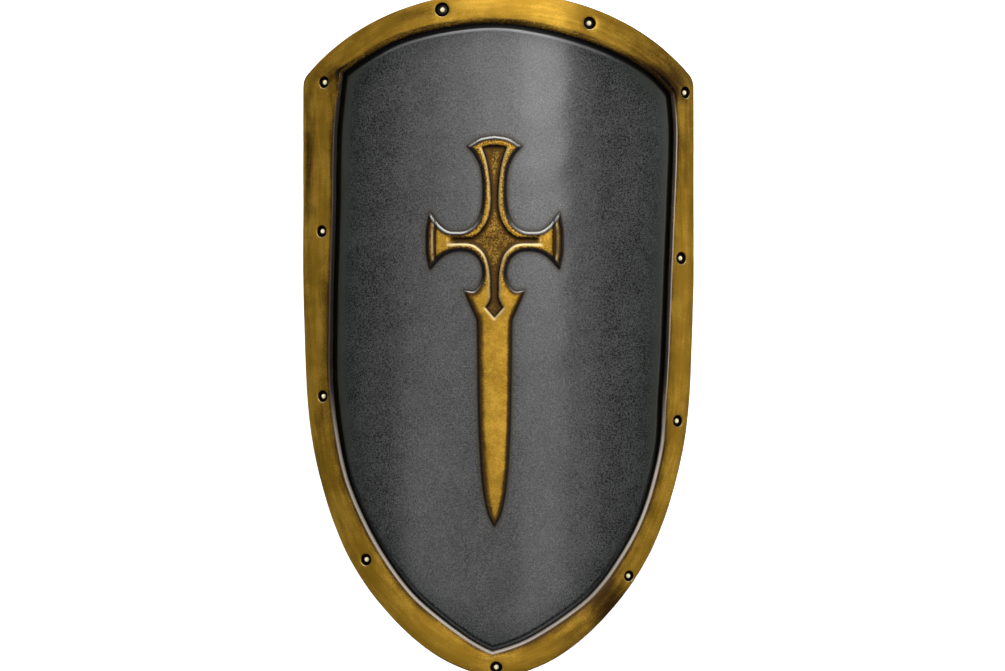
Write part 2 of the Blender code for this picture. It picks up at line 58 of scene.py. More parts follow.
# The shield is drawn on a flat sheet: s across, y along, t above the panel's face, all in metres.
# The sheet is then bent about the Y axis, so s becomes an angle and t a change of radius.
sheet = {
    "length": cadHigh.y - cadLow.y,
    "flatWidth": 0.569,
    "bendRadius": 0.410,
    "thickness": 0.015,
    "ledge": -0.003,  # the level that carries the rim
    "footTrim": 0.003,  # cut off flat under the side edges
    "topArcRadius": 0.437,
    "cornerRadius": 0.022,
    "gap": 0.0003,
    "arcSteps": 120,
    "cornerSteps": 40,
    "sideSteps": 16,
}
halfWidth = sheet["flatWidth"] / 2
halfLength = sheet["length"] / 2
arcCentre = halfLength - sheet["topArcRadius"]
floorLevel = ((sheet["bendRadius"] - sheet["thickness"]) * math.cos(halfWidth / sheet["bendRadius"])
              + sheet["footTrim"])

# down each side: height as share of the length, half width as share of the widest, rim width left and right
sideStations = np.array([
    (0.300, 1.000, 0.0545, 0.0310), (0.190, 1.000, 0.0523, 0.0350), (0.082, 1.000, 0.0488, 0.0400),
    (-0.038, 0.985, 0.0426, 0.0409), (-0.098, 0.9715, 0.0417, 0.0415), (-0.158, 0.943, 0.0423, 0.0368),
    (-0.217, 0.8905, 0.0420, 0.0352), (-0.276, 0.8185, 0.0472, 0.0354), (-0.334, 0.721, 0.0527, 0.0404),
    (-0.391, 0.581, 0.0570, 0.0456), (-0.447, 0.393, 0.0701, 0.0696),
])
footStation = (-0.483, 0.208)
# the rim's inner edge along the top, right to left: place as a share of the half width, depth below the arc
rimTopStations = np.array([
    (0.871, 0.0480), (0.731, 0.0422), (0.425, 0.0428), (0.000, 0.0374), (-0.454, 0.0356), (-0.772, 0.0394),
])
rimFoot = {"depth": 0.0297, "shift": -0.008}
sideCount = len(sideStations)
# keys round a loop: left corner, left stations, foot, right stations, right corner, top middle, left corner
keyCount = 2 * sideCount + 5


def pairs(s, y):
    # two arrays side by side along a new last axis
    return np.stack([s, y], -1)


def unit(vectors):
    # each vector over its own length
    return vectors / np.linalg.norm(vectors, axis=-1, keepdims=True)


def unitCircle(sides):
    # cosine and sine of evenly spaced angles
    angles = np.arange(sides) / sides * math.tau
    return pairs(np.cos(angles), np.sin(angles))


def closed(loop):
    # the loop with its first point again at the end
    return np.vstack([loop, loop[:1]])


def smoothStep(x, low, high):
    # 0 below the low mark, 1 above the high one, 3u^2 - 2u^3 between
    u = np.clip((x - low) / (high - low), 0, 1)
    return u * u * (3 - 2 * u)


def bendSheet(places, t):
    # angle = s over the bend radius, radius = bend radius plus t; never below the floor's level
    angle = places[..., 0] / sheet["bendRadius"]
    radius = sheet["bendRadius"] + t
    z = radius * np.cos(angle) - floorLevel
    return np.stack([radius * np.sin(angle), places[..., 1] + 0 * z, np.maximum(z, 0.0)], -1).reshape(-1, 3)


def throughPoints(points, steps, before=None, after=None):
    # Catmull-Rom: on each span the four nearest points are weighted by cubics of the share u along it
    p = np.array(points, float)
    first = 2 * p[0] - p[1] if before is None else np.array(before, float)
    last = 2 * p[-1] - p[-2] if after is None else np.array(after, float)
    guide = np.vstack([first, p, last])
    u = (np.arange(steps) / steps)[None, :, None]
    a, b, c, d = (guide[k:len(guide) - 3 + k, None] for k in range(4))
    curve = (a * (-u + 2 * u**2 - u**3) + b * (2 - 5 * u**2 + 3 * u**3)
             + c * (u + 4 * u**2 - 3 * u**3) + d * (-u**2 + u**3)) / 2
    return np.vstack([curve.reshape(-1, 2), p[-1:]])


def insetLoop(loop, distance):
    # each corner of an anticlockwise loop moves along its bisector, so far that both its edges move by the
    # distance
    into = unit(loop - np.roll(loop, 1, 0))
    out = unit(np.roll(loop, -1, 0) - loop)
    normal = unit(pairs(-into[:, 1] - out[:, 1], into[:, 0] + out[:, 0]))
    reach = distance / np.maximum(normal[:, 1] * into[:, 0] - normal[:, 0] * into[:, 1], 0.5)
    return loop + normal * reach[:, None]


def runAlong(points):
    # the length from the first point to each point of a polyline
    return np.concatenate([[0], np.cumsum(np.linalg.norm(np.diff(points, axis=0), axis=1))])


def pointsAt(run, at, points):
    # the polyline's values at given lengths along it
    return pairs(*(np.interp(at, run, points[:, k]) for k in (0, 1)))


def evenly(points, spacing):
    # the polyline with points about a spacing apart
    run = runAlong(points)
    return pointsAt(run, np.linspace(0, run[-1], max(int(round(run[-1] / spacing)), 1) + 1), points)


def makeTrack(points, keys):
    # a polyline with its running length, and the length at which each key lies
    run = runAlong(points)
    return {"points": points, "run": run, "keys": run[keys]}


def trackAt(track, q):
    # q counts keys; between two keys the place is shared out by length
    return pointsAt(track["run"], np.interp(q, np.arange(keyCount), track["keys"]), track["points"])


def stepsRound(track, step):
    # places one step apart all round a track, counted in keys
    return np.interp(np.arange(0, track["run"][-1], step), track["keys"], np.arange(keyCount))


def topArc(s):
    # height of the circle along the top
    return arcCentre + np.sqrt(sheet["topArcRadius"]**2 - s**2)


def outlineTrack(distance):
    # half: top arc, rounded corner, side stations and foot; mirrored, then moved inwards along its normals
    radius, small, steps = sheet["topArcRadius"], sheet["cornerRadius"], sheet["sideSteps"]
    cornerS = halfWidth - small
    cornerY = arcCentre + math.sqrt((radius - small)**2 - cornerS**2)
    arcEnd = math.atan2(cornerS, cornerY - arcCentre)
    top = np.linspace(0, arcEnd, sheet["arcSteps"], endpoint=False)
    turn = np.linspace(arcEnd, math.pi / 2, sheet["cornerSteps"] + 1)
    arc = radius * pairs(np.sin(top), np.cos(top)) + (0, arcCentre)
    corner = small * pairs(np.sin(turn), np.cos(turn)) + (cornerS, cornerY)
    stations = pairs(sideStations[:, 1] * halfWidth, sideStations[:, 0] * sheet["length"])
    last = (footStation[1] * halfWidth, footStation[0] * sheet["length"])
    side = throughPoints([*stations, last, (0, -halfLength)], steps, after=(-last[0], last[1]))
    half = np.vstack([arc, corner, side])
    middle = len(arc) + sheet["cornerSteps"] // 2
    left = half * (-1, 1)
    loop = np.vstack([left[middle:-1], half[:middle - 1:-1], half[middle - 1:0:-1], left[:middle]])
    first = len(arc) + len(corner) - middle
    down = [0] + [first + steps * k for k in range(sideCount)] + [len(half) - 1 - middle]
    up = [2 * down[-1] - k for k in down[-2::-1]]
    keys = down + up + [2 * down[-1] + middle, len(loop)]
    return makeTrack(closed(insetLoop(loop, distance)), keys)


def windowTrack(distance):
    # the rim's inner edge, moved into the window while it is coarse, then made smooth between its corners
    topS = rimTopStations[:, 0] * halfWidth
    top = pairs(topS, topArc(topS) - rimTopStations[:, 1])
    height, half, leftRim, rightRim = sideStations.T
    y = height * sheet["length"]
    foot = (rimFoot["shift"], rimFoot["depth"] - halfLength)
    left = np.vstack([top[-1:], pairs(leftRim - half * halfWidth, y), [foot]])
    right = np.vstack([top[:1], pairs(half * halfWidth - rightRim, y), [foot]])
    coarse, fine = 2, 8
    stretches = [throughPoints(left, coarse), throughPoints(right, coarse)[::-1], throughPoints(top, coarse)]
    loop = closed(insetLoop(np.vstack([stretch[:-1] for stretch in stretches]), distance))
    ends = np.cumsum([0] + [len(stretch) - 1 for stretch in stretches])
    smooth = [throughPoints(loop[a:b + 1], fine)[:-1] for a, b in zip(ends, ends[1:])]
    points = np.vstack([*smooth, loop[-1:]])
    keys = [coarse * fine * k for k in range(2 * sideCount + 3)]
    return makeTrack(points, keys + [keys[-1] + coarse * fine * 3, len(points) - 1])


def inParts(work, points):
    # the work done on some 1500 points at a time, which keeps its tables small
    return np.concatenate([work(part) for part in np.array_split(points, max(len(points) // 1500, 1))])


def nearLine(points, line):
    # squared distance from each point to each segment, and the point's share along it, held to 0..1
    start, along = line[:-1], np.diff(line, axis=0)
    off = points[:, None] - start
    share = np.clip((off * along).sum(2) / np.maximum((along**2).sum(1), 1e-18), 0, 1)
    return ((off - share[..., None] * along)**2).sum(2), share


def distanceTo(points, line):
    # the shortest distance from each point to a polyline
    return inParts(lambda part: np.sqrt(nearLine(part, line)[0].min(1)), points)


def nearestOf(points, line):
    # the number of the line's point that is nearest to each point
    return inParts(lambda part: ((part[:, None] - line)**2).sum(2).argmin(1), points)


def insideLoop(points, loop):
    # even-odd rule: count the edges that cross a line drawn from the point towards +s
    ax, ay = loop.T
    bx, by = np.roll(loop, -1, 0).T
    rise = np.where(by == ay, 1e-12, by - ay)

    def odd(part):
        # whether an odd number of edges cross the line from each point
        x, y = part[:, 0, None], part[:, 1, None]
        return (((ay > y) != (by > y)) & (x < ax + (y - ay) * (bx - ax) / rise)).sum(1) % 2 == 1

    return inParts(odd, points)


def ripple(points, seed, size):
    # a sum of sine waves in fixed random directions, between about -1 and 1, each about the given size long
    rng = np.random.default_rng(seed)
    s, y = points.T
    waves, total = 7, 0 * s
    for _ in range(waves):
        angle, phase = rng.uniform(0, math.tau, 2)
        wave = math.tau / (size * rng.uniform(0.7, 1.6))
        total = total + np.sin(wave * (s * math.cos(angle) + y * math.sin(angle)) + phase)
    return total / (waves / 2)


def gridInside(loop, spacing):
    # a square grid of points that lie inside the loop, not too near it
    axes = [np.arange(low, high, spacing) for low, high in zip(loop.min(0), loop.max(0))]
    grid = pairs(*np.meshgrid(*axes, indexing="ij")).reshape(-1, 2)
    grid = grid[insideLoop(grid, loop)]
    return grid[distanceTo(grid, closed(loop)) > spacing * 0.4]


def fillBetween(loops, extra):
    # Delaunay triangles inside the first loop and outside the others, through every extra point
    edges, start = [], 0
    for loop in loops:
        ring = start + np.arange(len(loop))
        edges.append(pairs(ring, np.roll(ring, -1)))
        start += len(loop)
    made = delaunay_2d_cdt(np.vstack([*loops, extra]).tolist(), np.vstack(edges).tolist(), [], 1, 1e-8)
    points, triangles = np.array(made[0]), np.array(made[2])
    centres = points[triangles].mean(1)
    keep = insideLoop(centres, loops[0])
    for loop in loops[1:]:
        keep &= ~insideLoop(centres, loop)
    return points, triangles[keep]


def besideLoop(loop, distance):
    # points beside a loop at a distance, without those that fold over at its corners
    moved = insetLoop(loop, distance)
    return moved[np.abs(distanceTo(moved, closed(loop)) - abs(distance)) < 0.06 * abs(distance) + 1e-5]


def quadsOf(grid):
    # quads between neighbouring points of a grid of point numbers whose first axis closes on itself
    a, b = grid[:, :-1], grid[:, 1:]
    return np.stack([a, b, np.roll(b, -1, 0), np.roll(a, -1, 0)], -1).reshape(-1, 4)


def numbered(*shape):
    # the numbers from 0 up in an array of this shape
    return np.arange(math.prod(shape)).reshape(shape)


def sheetPart(places, level, *faces, **numbers):
    # a stretch of surface: places on the sheet, their level, faces counted from 0 (by default the quads of a
    # grid that closes on itself) and numbers at the points
    shape = places.shape[:-1]
    faces = faces or [quadsOf(numbered(*shape))]
    numbers = {key: np.broadcast_to(value, shape).ravel() for key, value in numbers.items()}
    return {"places": places.reshape(-1, 2), "points": bendSheet(places, level), "faces": faces,
            "numbers": numbers}


def buildPiece(name, parts, everywhere=None, cap=False):
    # joins parts into one mesh; a number that a part lacks is 0 there; open ends are capped if asked
    points = np.vstack([part["points"] for part in parts])
    starts = np.cumsum([0] + [len(part["points"]) for part in parts])
    faces = [some + start for part, start in zip(parts, starts) for some in part["faces"]]
    values = {}
    for key in sorted({key for part in parts for key in part["numbers"]}):
        values[key] = np.concatenate([part["numbers"].get(key, np.zeros(len(part["points"])))
                                      for part in parts])
    if everywhere:
        values.update(everywhere(np.vstack([part["places"] for part in parts])))
    sizes = np.concatenate([np.full(len(f), f.shape[1]) for f in faces])
    corners = np.concatenate([f.ravel() for f in faces])
    mesh = bpy.data.meshes.new(name)
    mesh.vertices.add(len(points))
    mesh.vertices.foreach_set("co", points.astype(np.float32).ravel())
    mesh.loops.add(len(corners))
    mesh.loops.foreach_set("vertex_index", corners.astype(np.int32))
    mesh.polygons.add(len(sizes))
    mesh.polygons.foreach_set("loop_start", (np.cumsum(sizes) - sizes).astype(np.int32))
    mesh.polygons.foreach_set("loop_total", sizes.astype(np.int32))
    mesh.update(calc_edges=True)
    for key, value in values.items():
        kind, field = ("FLOAT", "value") if value.ndim == 1 else ("FLOAT_VECTOR", "vector")
        mesh.attributes.new(key, kind, "POINT").data.foreach_set(field, value.astype(np.float32).ravel())
    bm = bmesh.new()
    bm.from_mesh(mesh)
    bmesh.ops.remove_doubles(bm, verts=bm.verts, dist=4e-6)
    if cap:
        bmesh.ops.holes_fill(bm, edges=[edge for edge in bm.edges if edge.is_boundary], sides=0)
    bmesh.ops.recalc_face_normals(bm, faces=bm.faces)
    bm.to_mesh(mesh)
    bm.free()
    mesh.shade_smooth()
    piece = bpy.data.objects.new(name, mesh)
    bpy.context.scene.collection.objects.link(piece)
    return piece


def placePiece(piece, finish, slot, *nodes, sharp=None):
    # gives a piece its material and its place in the frame
    piece.data.materials.append(finish)
    if sharp:
        piece.data.set_sharp_from_angle(angle=math.radians(sharp))
    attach(piece, "root")
    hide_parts(*nodes)
    print("made", piece.name, len(piece.data.polygons), "faces")


class finishMaker:
    # short calls for the node work that every finish shares
    def __init__(self, name):
        self.material = bpy.data.materials.new(name)
        self.material.use_nodes = True

    def feed(self, node, inputs):
        # a socket is linked, a plain value is set, and None leaves the input alone
        for key, value in inputs.items():
            if isinstance(value, bpy.types.NodeSocket):
                self.material.node_tree.links.new(value, node.inputs[key])
            elif value is not None:
                node.inputs[key].default_value = value

    def put(self, kind, inputs, out=0, **settings):
        # a node of a kind with its inputs and settings; gives back one of its outputs
        node = self.material.node_tree.nodes.new("ShaderNode" + kind)
        for key, value in settings.items():
            setattr(node, key, value)
        self.feed(node, inputs)
        return node.outputs[out]

    def place(self):
        # the object's own coordinates
        return self.put("TexCoord", {}, "Object")

    def noise(self, vector, scale, detail=2.0, roughness=0.5):
        # noise from 0 to 1 of the vector times the scale
        inputs = {"Vector": vector, "Scale": scale, "Detail": detail, "Roughness": roughness}
        return self.put("TexNoise", inputs, "Fac")

    def attribute(self, name, out="Fac"):
        # a number, or a vector, that the mesh holds at its points
        return self.put("Attribute", {}, out, attribute_name=name)

    def maths(self, operation, a, b, clamp=False):
        # the operation on a and b, held to 0..1 if clamped
        return self.put("Math", {0: a, 1: b}, operation=operation, use_clamp=clamp)

    def ranged(self, value, low, high, toLow=0.0, toHigh=1.0):
        # a smooth step from toLow, where the value is low, to toHigh, where it is high
        inputs = {"Value": value, "From Min": low, "From Max": high, "To Min": toLow, "To Max": toHigh}
        return self.put("MapRange", inputs, "Result", interpolation_type="SMOOTHSTEP")

    def mixed(self, share, first, second, blend="MIX"):
        # first times one less the share, plus the share times second or its blend with first
        return self.put("Mix", {"Factor": share, 6: first, 7: second}, 2, data_type="RGBA", blend_type=blend)

    def bump(self, height, distance, strength, normal=None):
        # the normal tilted by the height's slope
        inputs = {"Distance": distance, "Strength": strength, "Height": height, "Normal": normal}
        return self.put("Bump", inputs, "Normal")

    def finish(self, inputs):
        # the material, with these inputs of its shader
        self.feed(self.material.node_tree.nodes["Principled BSDF"], inputs)
        return self.material


# Places of the studs: side (-1 is left), height share of the length, distance in from the edge, mouth radius
studMap = {
    "sides": [(-1, 0.376, 0.0395, 0.0078), (1, 0.362, 0.0175, 0.0076), (-1, 0.154, 0.0356, 0.0078),
              (1, 0.114, 0.0247, 0.0080), (-1, -0.092, 0.0296, 0.0076), (1, -0.129, 0.0194, 0.0076),
              (-1, -0.332, 0.0274, 0.0076), (1, -0.356, 0.0150, 0.0068)],
    "top": [(-0.257, 0.0171, 0.0090), (0.424, 0.0224, 0.0080)],  # share of half width, depth, mouth radius
    "foot": (-0.0026, 0.0137, 0.0074),  # place, height above the foot, mouth radius
    "socketDepth": 0.0070,
    "socketTaper": 0.0020,
}


def studPlaces():
    # where each stud stands on the sheet, with its socket's mouth radius
    edge = outlineTrack(0)["points"]
    right = edge[(edge[:, 0] > 0) & (edge[:, 1] < 0.4 * sheet["length"])]
    right = right[np.argsort(right[:, 1])]
    places = []
    for share, depth, radius in studMap["top"]:
        places.append((share * halfWidth, topArc(share * halfWidth) - depth, radius))
    for side, height, inwards, radius in studMap["sides"]:
        y = height * sheet["length"]
        width = min(np.interp(y, right[:, 1], right[:, 0]), halfWidth)
        if height > sideStations[0][0]:
            width = halfWidth
        places.append((side * (width - inwards), y, radius))
    s, height, radius = studMap["foot"]
    return np.array([*places, (s, height - halfLength, radius)])


studs = studPlaces()

# Gold rim: a profile carried round the shield, its top filled in round the sunk sockets
goldRim = {
    "setback": 0.001,
    "height": 0.010,
    "outerRounding": 0.0035,
    "innerSlope": 0.005,
    "chamfer": 0.66,  # share of the slope that lies at one tilt
    "chamferFall": 0.62,
    "rowStep": 0.0036,
    # gold on each column of the underside, then up the outer side and over the rounding
    "underCover": [0] * 6,
    "outerCover": [0.6, *np.linspace(0.7, 1.0, 8)],
    # columns down the slope: share across, the painted sheen's thin line and its full width, gold, gold along
    # the top
    "slope": np.array([
        (0.00, 0.70, 0.0, 0.50, 0.62), (0.06, 1.00, 0.2, 0.25, 0.60), (0.14, 1.00, 0.6, 0, 0.56),
        (0.26, 0.35, 1.0, 0, 0.50), (0.39, 0, 1.0, 0, 0.42), (0.52, 0, 0.9, 0, 0.34), (0.66, 0, 0.7, 0, 0.24),
        (0.80, 0, 0.3, 0, 0.14), (0.90, 0, 0.1, 0, 0.06), (0.96, 0, 0, 0, 0), (0.99, 0, 0, 0, 0),
        (1, 0, 0, 0, 0),
    ]),
    "topColumns": 20,
    "crown": 0.0015,
    "crownPower": 2.6,
    "wave": 0.0003,
    "fade": 0.0060,  # over this width the gold thins out beside the window
    "lip": 0.0009,
    "lipShine": 1.6,
    "pucker": 0.0006,
    "puckerWidth": 0.0030,
    "socketSides": 56,
    "socketRings": (0.0008, 0.0018),
    "socketRoom": 0.0030,
    "socketDepths": np.array([0, 0.03, 0.11, 0.25, 0.40, 0.56, 0.72, 0.88, 0.98, 1.0, 1.0, 1.0]),
    # spots where the gold is darker, or brighter with a minus: partly patchy brushing, partly painted shade
    # and painted highlight across the rim; s, y, reach across, reach along, strength
    "ovalSpots": [(0.145, -0.355, 0.030, 0.036, 0.9), (0.10, -0.39, 0.03, 0.03, 0.3),
               (0.245, 0.335, 0.040, 0.034, 0.95), (-0.235, 0.345, 0.030, 0.022, 0.35),
               (-0.08, -0.40, 0.05, 0.05, -0.4), (0.06, 0.438, 0.07, 0.012, -0.35),
               (-0.271, 0.23, 0.009, 0.08, 0.95), (-0.2455, 0.24, 0.007, 0.09, -0.60),
               (-0.240, 0.03, 0.010, 0.09, 0.75), (-0.259, -0.085, 0.008, 0.014, -0.9),
               (-0.2575, 0.03, 0.006, 0.09, -0.35), (-0.252, -0.10, 0.012, 0.035, 0.5),
               (0.262, 0.245, 0.010, 0.05, 0.35), (-0.10, 0.422, 0.05, 0.008, 0.35),
               (-0.215, -0.25, 0.012, 0.06, 0.25), (0.272, 0.02, 0.02, 0.12, -0.45),
               (-0.185, -0.325, 0.020, 0.05, -0.80), (-0.233, 0.24, 0.005, 0.10, 0.55),
               (0.195, 0.375, 0.045, 0.030, 0.35)],
    # gold left off beside the window, in the same order
    "bare": [(0.232, 0.338, 0.034, 0.020, 0.9), (-0.222, 0.352, 0.026, 0.014, 0.6),
             (0.0, 0.40, 0.26, 0.016, 0.25)],
    "bareWidth": 0.012,
    # a painted shadow on the gold beside the window, round the lower V
    "lowEdgeShade": 0.42,  # how much browner the gold is beside the window round the lower V
}
rimTop = sheet["ledge"] + goldRim["height"]


def rimHeight(points, outer, window):
    # top level less a crown of |2x - 1|^power across the rim, a soft unevenness and a dip round each socket
    out, back = distanceTo(points, outer), distanceTo(points, window)
    share = out / np.maximum(out + back, 1e-9)
    drop = goldRim["crown"] * np.abs(2 * share - 1)**goldRim["crownPower"]
    drop = drop + goldRim["wave"] * (0.5 + 0.5 * np.clip(ripple(points, 3, 0.035), -1, 1))
    for s, y, radius in studs:
        away = np.hypot(points[:, 0] - s, points[:, 1] - y) - radius
        drop = drop + goldRim["pucker"] * np.exp(-(np.maximum(away, 0) / goldRim["puckerWidth"])**2)
    return rimTop - drop


def ovalSpots(points, spots):
    # soft oval spots: a bell curve of the distance to each spot over its reach, times its strength
    total = np.zeros(len(points))
    for s, y, across, along, strength in spots:
        total += strength * np.exp(-((points[:, 0] - s) / across)**2 - ((points[:, 1] - y) / along)**2)
    return total


def slopeSheen(points):
    # painted sheen on the slope's dark lacquer where it faces the light, column by column: nearly all of it
    # round the lower V, a thin line beside the gold up the sides, fainter on the left, none along the top,
    # facing away
    s, y = points[:, :1], points[:, 1:]
    line, whole = goldRim["slope"][:, 1:3].T
    low = smoothStep(-y, 0.06, 0.15)
    side = 0.25 + 0.65 * smoothStep(s, 0.05, 0.15)
    return (line * side * (1 - low) + whole * low) * (1 - smoothStep(y, 0.27, 0.33))


def rimFlow(points, outer):
    # a vector that runs with the rim: length along it bent round a ring, and distance from the outer edge
    run = runAlong(outer)
    ring = run[-1] / math.tau

    def flow(part):
        # the length along the line as an angle, that angle on the ring, and the distance away
        square, share = nearLine(part, outer)
        away = np.sqrt(square)
        near, rows = away.argmin(1), np.arange(len(part))
        turn = (run[near] + share[rows, near] * np.diff(run)[near]) / run[-1] * math.tau
        return np.stack([ring * np.cos(turn), ring * np.sin(turn), away[rows, near]], 1)

    return inParts(flow, points)


def makeRim():
    # columns from the window's foot out under the rim, up and over its outer side, and down the inner slope
    outerTrack = outlineTrack(goldRim["setback"])
    q = stepsRound(outerTrack, goldRim["rowStep"])
    outer, window = trackAt(outerTrack, q), trackAt(windowTrack(0), q)
    foot = trackAt(windowTrack(goldRim["innerSlope"]), q)
    across = unit(window - outer)
    lip = goldRim["lip"]
    # the outer rounding gives way where a socket comes close to the edge
    room = np.min([np.hypot(*(outer - (s, y)).T) - radius - lip for s, y, radius in studs], axis=0)
    rounding = np.minimum(goldRim["outerRounding"], room - 0.0005)[:, None]
    edge = outer + across * rounding
    lines = closed(outer), closed(window)
    edgeTop, arrisTop = (rimHeight(points, *lines)[:, None] for points in (edge, window))
    rows = len(q)
    low = np.full((rows, 1), sheet["ledge"] + sheet["gap"])
    under = np.linspace(0, 1, len(goldRim["underCover"]))
    columns = [(foot + (outer - foot) * share, low) for share in under]
    columns.append((outer, (low + edgeTop - rounding) / 2))
    for angle in np.linspace(0, math.pi / 2, len(goldRim["outerCover"]) - 1):
        columns.append((outer + across * rounding * (1 - math.cos(angle)),
                        edgeTop - rounding * (1 - math.sin(angle))))
    outerCount = len(columns)
    # the inner side falls evenly along a chamfer, then turns down through a quarter ellipse to the ledge
    chamfer, slant = goldRim["chamfer"], goldRim["chamferFall"]
    shareDown, _, _, sideGold, topGold = goldRim["slope"].T
    for u in shareDown:
        turned = 1 - math.sqrt(1 - max((u - chamfer) / (1 - chamfer), 0)**2)
        fall = goldRim["innerSlope"] * (slant * min(u, chamfer) + (1 - slant * chamfer) * turned)
        columns.append((window + (foot - window) * u, arrisTop - fall))
    columns += [(foot, (arrisTop - goldRim["innerSlope"] + low) / 2), (foot, low)]
    flat = np.stack([column[0] for column in columns], 1)
    level = np.hstack([column[1] for column in columns])
    grid = numbered(rows, len(columns))
    # gold covers the top and thins out towards the window; the slope is lacquered dark, the underside bare
    outerCover = np.tile([*goldRim["underCover"], *goldRim["outerCover"]], (rows, 1))
    slopeCover = sideGold + (topGold - sideGold) * smoothStep(window[:, 1:], 0.30, 0.35)
    cover = np.hstack([outerCover, slopeCover, np.zeros((rows, 2))])
    # the slope's dark lacquer is lightened to a painted highlight where it faces the light from the top
    rubbed = np.pad(slopeSheen(window), ((0, 0), (outerCount, 2)))
    parts = [sheetPart(flat, level, quadsOf(grid[:, :outerCount]), quadsOf(grid[:, outerCount:]),
                       cover=cover, rubbed=rubbed)]
    # the top: the grid between the two roundings, less what lies near a socket, and rings round each socket
    shares = np.arange(1, goldRim["topColumns"]) / goldRim["topColumns"]
    top = (edge[:, None] + (window - edge)[:, None] * shares[:, None]).reshape(-1, 2)
    circle = unitCircle(goldRim["socketSides"])
    mouths = [(s, y) + circle * (radius + lip) for s, y, radius in studs]
    rings = []
    for s, y, radius in studs:
        top = top[np.hypot(top[:, 0] - s, top[:, 1] - y) > radius + lip + goldRim["socketRoom"]]
        rings += [(s, y) + circle * (radius + lip + more) for more in goldRim["socketRings"]]
    rings = np.vstack(rings)
    rings = rings[insideLoop(rings, edge) & ~insideLoop(rings, window)]
    rings = rings[(distanceTo(rings, closed(edge)) > 0.0005) & (distanceTo(rings, lines[1]) > 0.0005)]
    flatTop, triangles = fillBetween([edge, window, *mouths], np.vstack([top, rings]))
    toWindow = distanceTo(flatTop, lines[1])
    cover = 1 - 0.50 * (1 - smoothStep(toWindow, 0, goldRim["fade"]))**1.5
    cover = cover - ovalSpots(flatTop, goldRim["bare"]) * (1 - smoothStep(toWindow, 0, goldRim["bareWidth"]))
    parts.append(sheetPart(flatTop, rimHeight(flatTop, *lines), triangles, cover=cover))
    # sockets: radius from the lip to the middle, depth by a rounded lip and a tapered wall to a flat floor
    depths = goldRim["socketDepths"]
    bottom = rimTop - studMap["socketDepth"]
    for (s, y, radius), mouth in zip(studs, mouths):
        flatRadius = radius - studMap["socketTaper"]
        radii = np.array([radius + lip, radius + lip * 0.66, radius + lip * 0.33, radius, radius - 0.0003,
                          radius - 0.0006, radius - 0.0010, radius - 0.0014, flatRadius, flatRadius - 0.0007,
                          flatRadius * 0.5, 0.0])
        spot = (s, y) + circle[:, None] * radii[:, None]
        lipLevel = rimHeight(mouth, *lines)[:, None]
        # the lip that faces up the shield, towards the light, gets a painted highlight
        shine = goldRim["lipShine"] * np.maximum(-circle[:, 1:] - 0.3, 0) * (np.arange(len(radii)) < 4)
        parts.append(sheetPart(spot, lipLevel + (bottom - lipLevel) * depths,
                               cover=np.maximum(0.9 - 4.5 * depths, 0.0), shine=shine))

    def everywhere(places):
        # spots of stain, painted shade and painted highlight, plus a painted shadow that browns the gold
        # beside the window round the lower V, and the flow
        beside = 1 - smoothStep(distanceTo(places, lines[1]), 0.002, 0.014)
        stain = ovalSpots(places, goldRim["ovalSpots"])
        stain = stain + goldRim["lowEdgeShade"] * smoothStep(-places[:, 1], 0.08, 0.20) * beside
        return {"stain": stain, "flow": rimFlow(places, lines[0])}

    return buildPiece("goldRim", parts, everywhere)


# Gold cross: its drawing is in thousandths of its own length, with the crossing of the limbs at 0, 0
goldCross = {
    "length": 0.510,
    "shift": -0.0049,
    "heightShare": 0.1363,
    "rise": 0.0055,
    "flank": 0.0026,  # the foot stands this far outside the face's edge
    "wallShare": 0.42,  # share of the rise that stands straight up
    "rounding": 0.0056,
    "channelDepth": 0.0034,
    "channelFlank": 0.0036,
    "channelRamp": 0.009,  # the channel rises to nothing over this length at its outer ends
    "beadDrop": 0.0009,
    "beadWidth": 0.0030,
    "ridge": 0.0006,
    "tipThinning": 0.45,
    "thinningLength": 0.110,
    "grooveInset": 7.0,
    "grooveWidth": 0.0036,
    "grooveDepth": 0.0015,
    "spacing": 0.0012,
    "gridStep": 0.0030,
    "underStep": 0.008,
    "besideFoot": (0.0003, 0.0007, 0.0012, 0.0018, 0.0025, 0.0034, 0.0046, 0.0060, 0.0075),
    "besideChannel": (-0.0024, -0.0015, -0.0007, 0.0005, 0.0011, 0.0017, 0.0023, 0.0032),
    "besideGroove": (-0.0013, -0.0009, -0.00045, 0, 0.00045, 0.0009, 0.0013),
    "crown": [(0.0, 266.0), (34.0, 260.0), (63.0, 243.0)],
    "upperHollow": [(63, 243), (49, 227), (35, 200), (27.8, 170), (25.7, 136), (27, 98), (33.5, 65.5),
                    (46.3, 40), (72, 22.6), (98, 19.5), (123, 23), (146.5, 40), (166, 65)],
    "armEnd": [(166, 65), (172.5, 28), (173, 0), (172.5, -30), (166, -63)],
    "lowerHollow": [(166, -63), (149, -45), (131, -31), (108, -22.6), (85, -20.6), (62, -24.4), (42.5, -37.3),
                    (31, -56.5), (26.2, -80), (28, -98), (38, -122), (52.7, -134), (70.7, -132.5)],
    "prong": [(70.7, -132.5), (64, -149), (53.5, -172), (41.5, -199)],
    "blade": [(41.5, -199), (39.2, -229), (37, -409), (32.4, -537), (27, -614), (19.8, -666), (10.2, -704),
              (0, -725)],
    "channelTop": [(0, 248), (18, 247), (34.7, 241.6)],
    "channelUpper": [(34.7, 241.6), (24.4, 213), (18, 182.5), (13.6, 149), (11.8, 113), (12.9, 85),
                     (19.3, 56.6), (33.4, 30.8), (52.7, 14), (70.7, 10.3), (119.5, 10.3)],
    "channelEnd": [(119.5, 10.3), (119.5, -9)],
    "channelLower": [(119.5, -9), (69.4, -9), (46.3, -16.7), (27, -36), (18, -61.7), (13.6, -90),
                     (12.9, -123.4), (13.4, -149), (24.4, -172.2)],
    "channelFoot": [(24.4, -172.2), (12.2, -186.4), (0, -200.5)],
    "endGroove": [(160.5, 58), (164, 27), (164.5, 0), (164, -30), (160.5, -57)],
}
crossUnit = goldCross["length"] / 1000
crossHeight = goldCross["heightShare"] * sheet["length"]


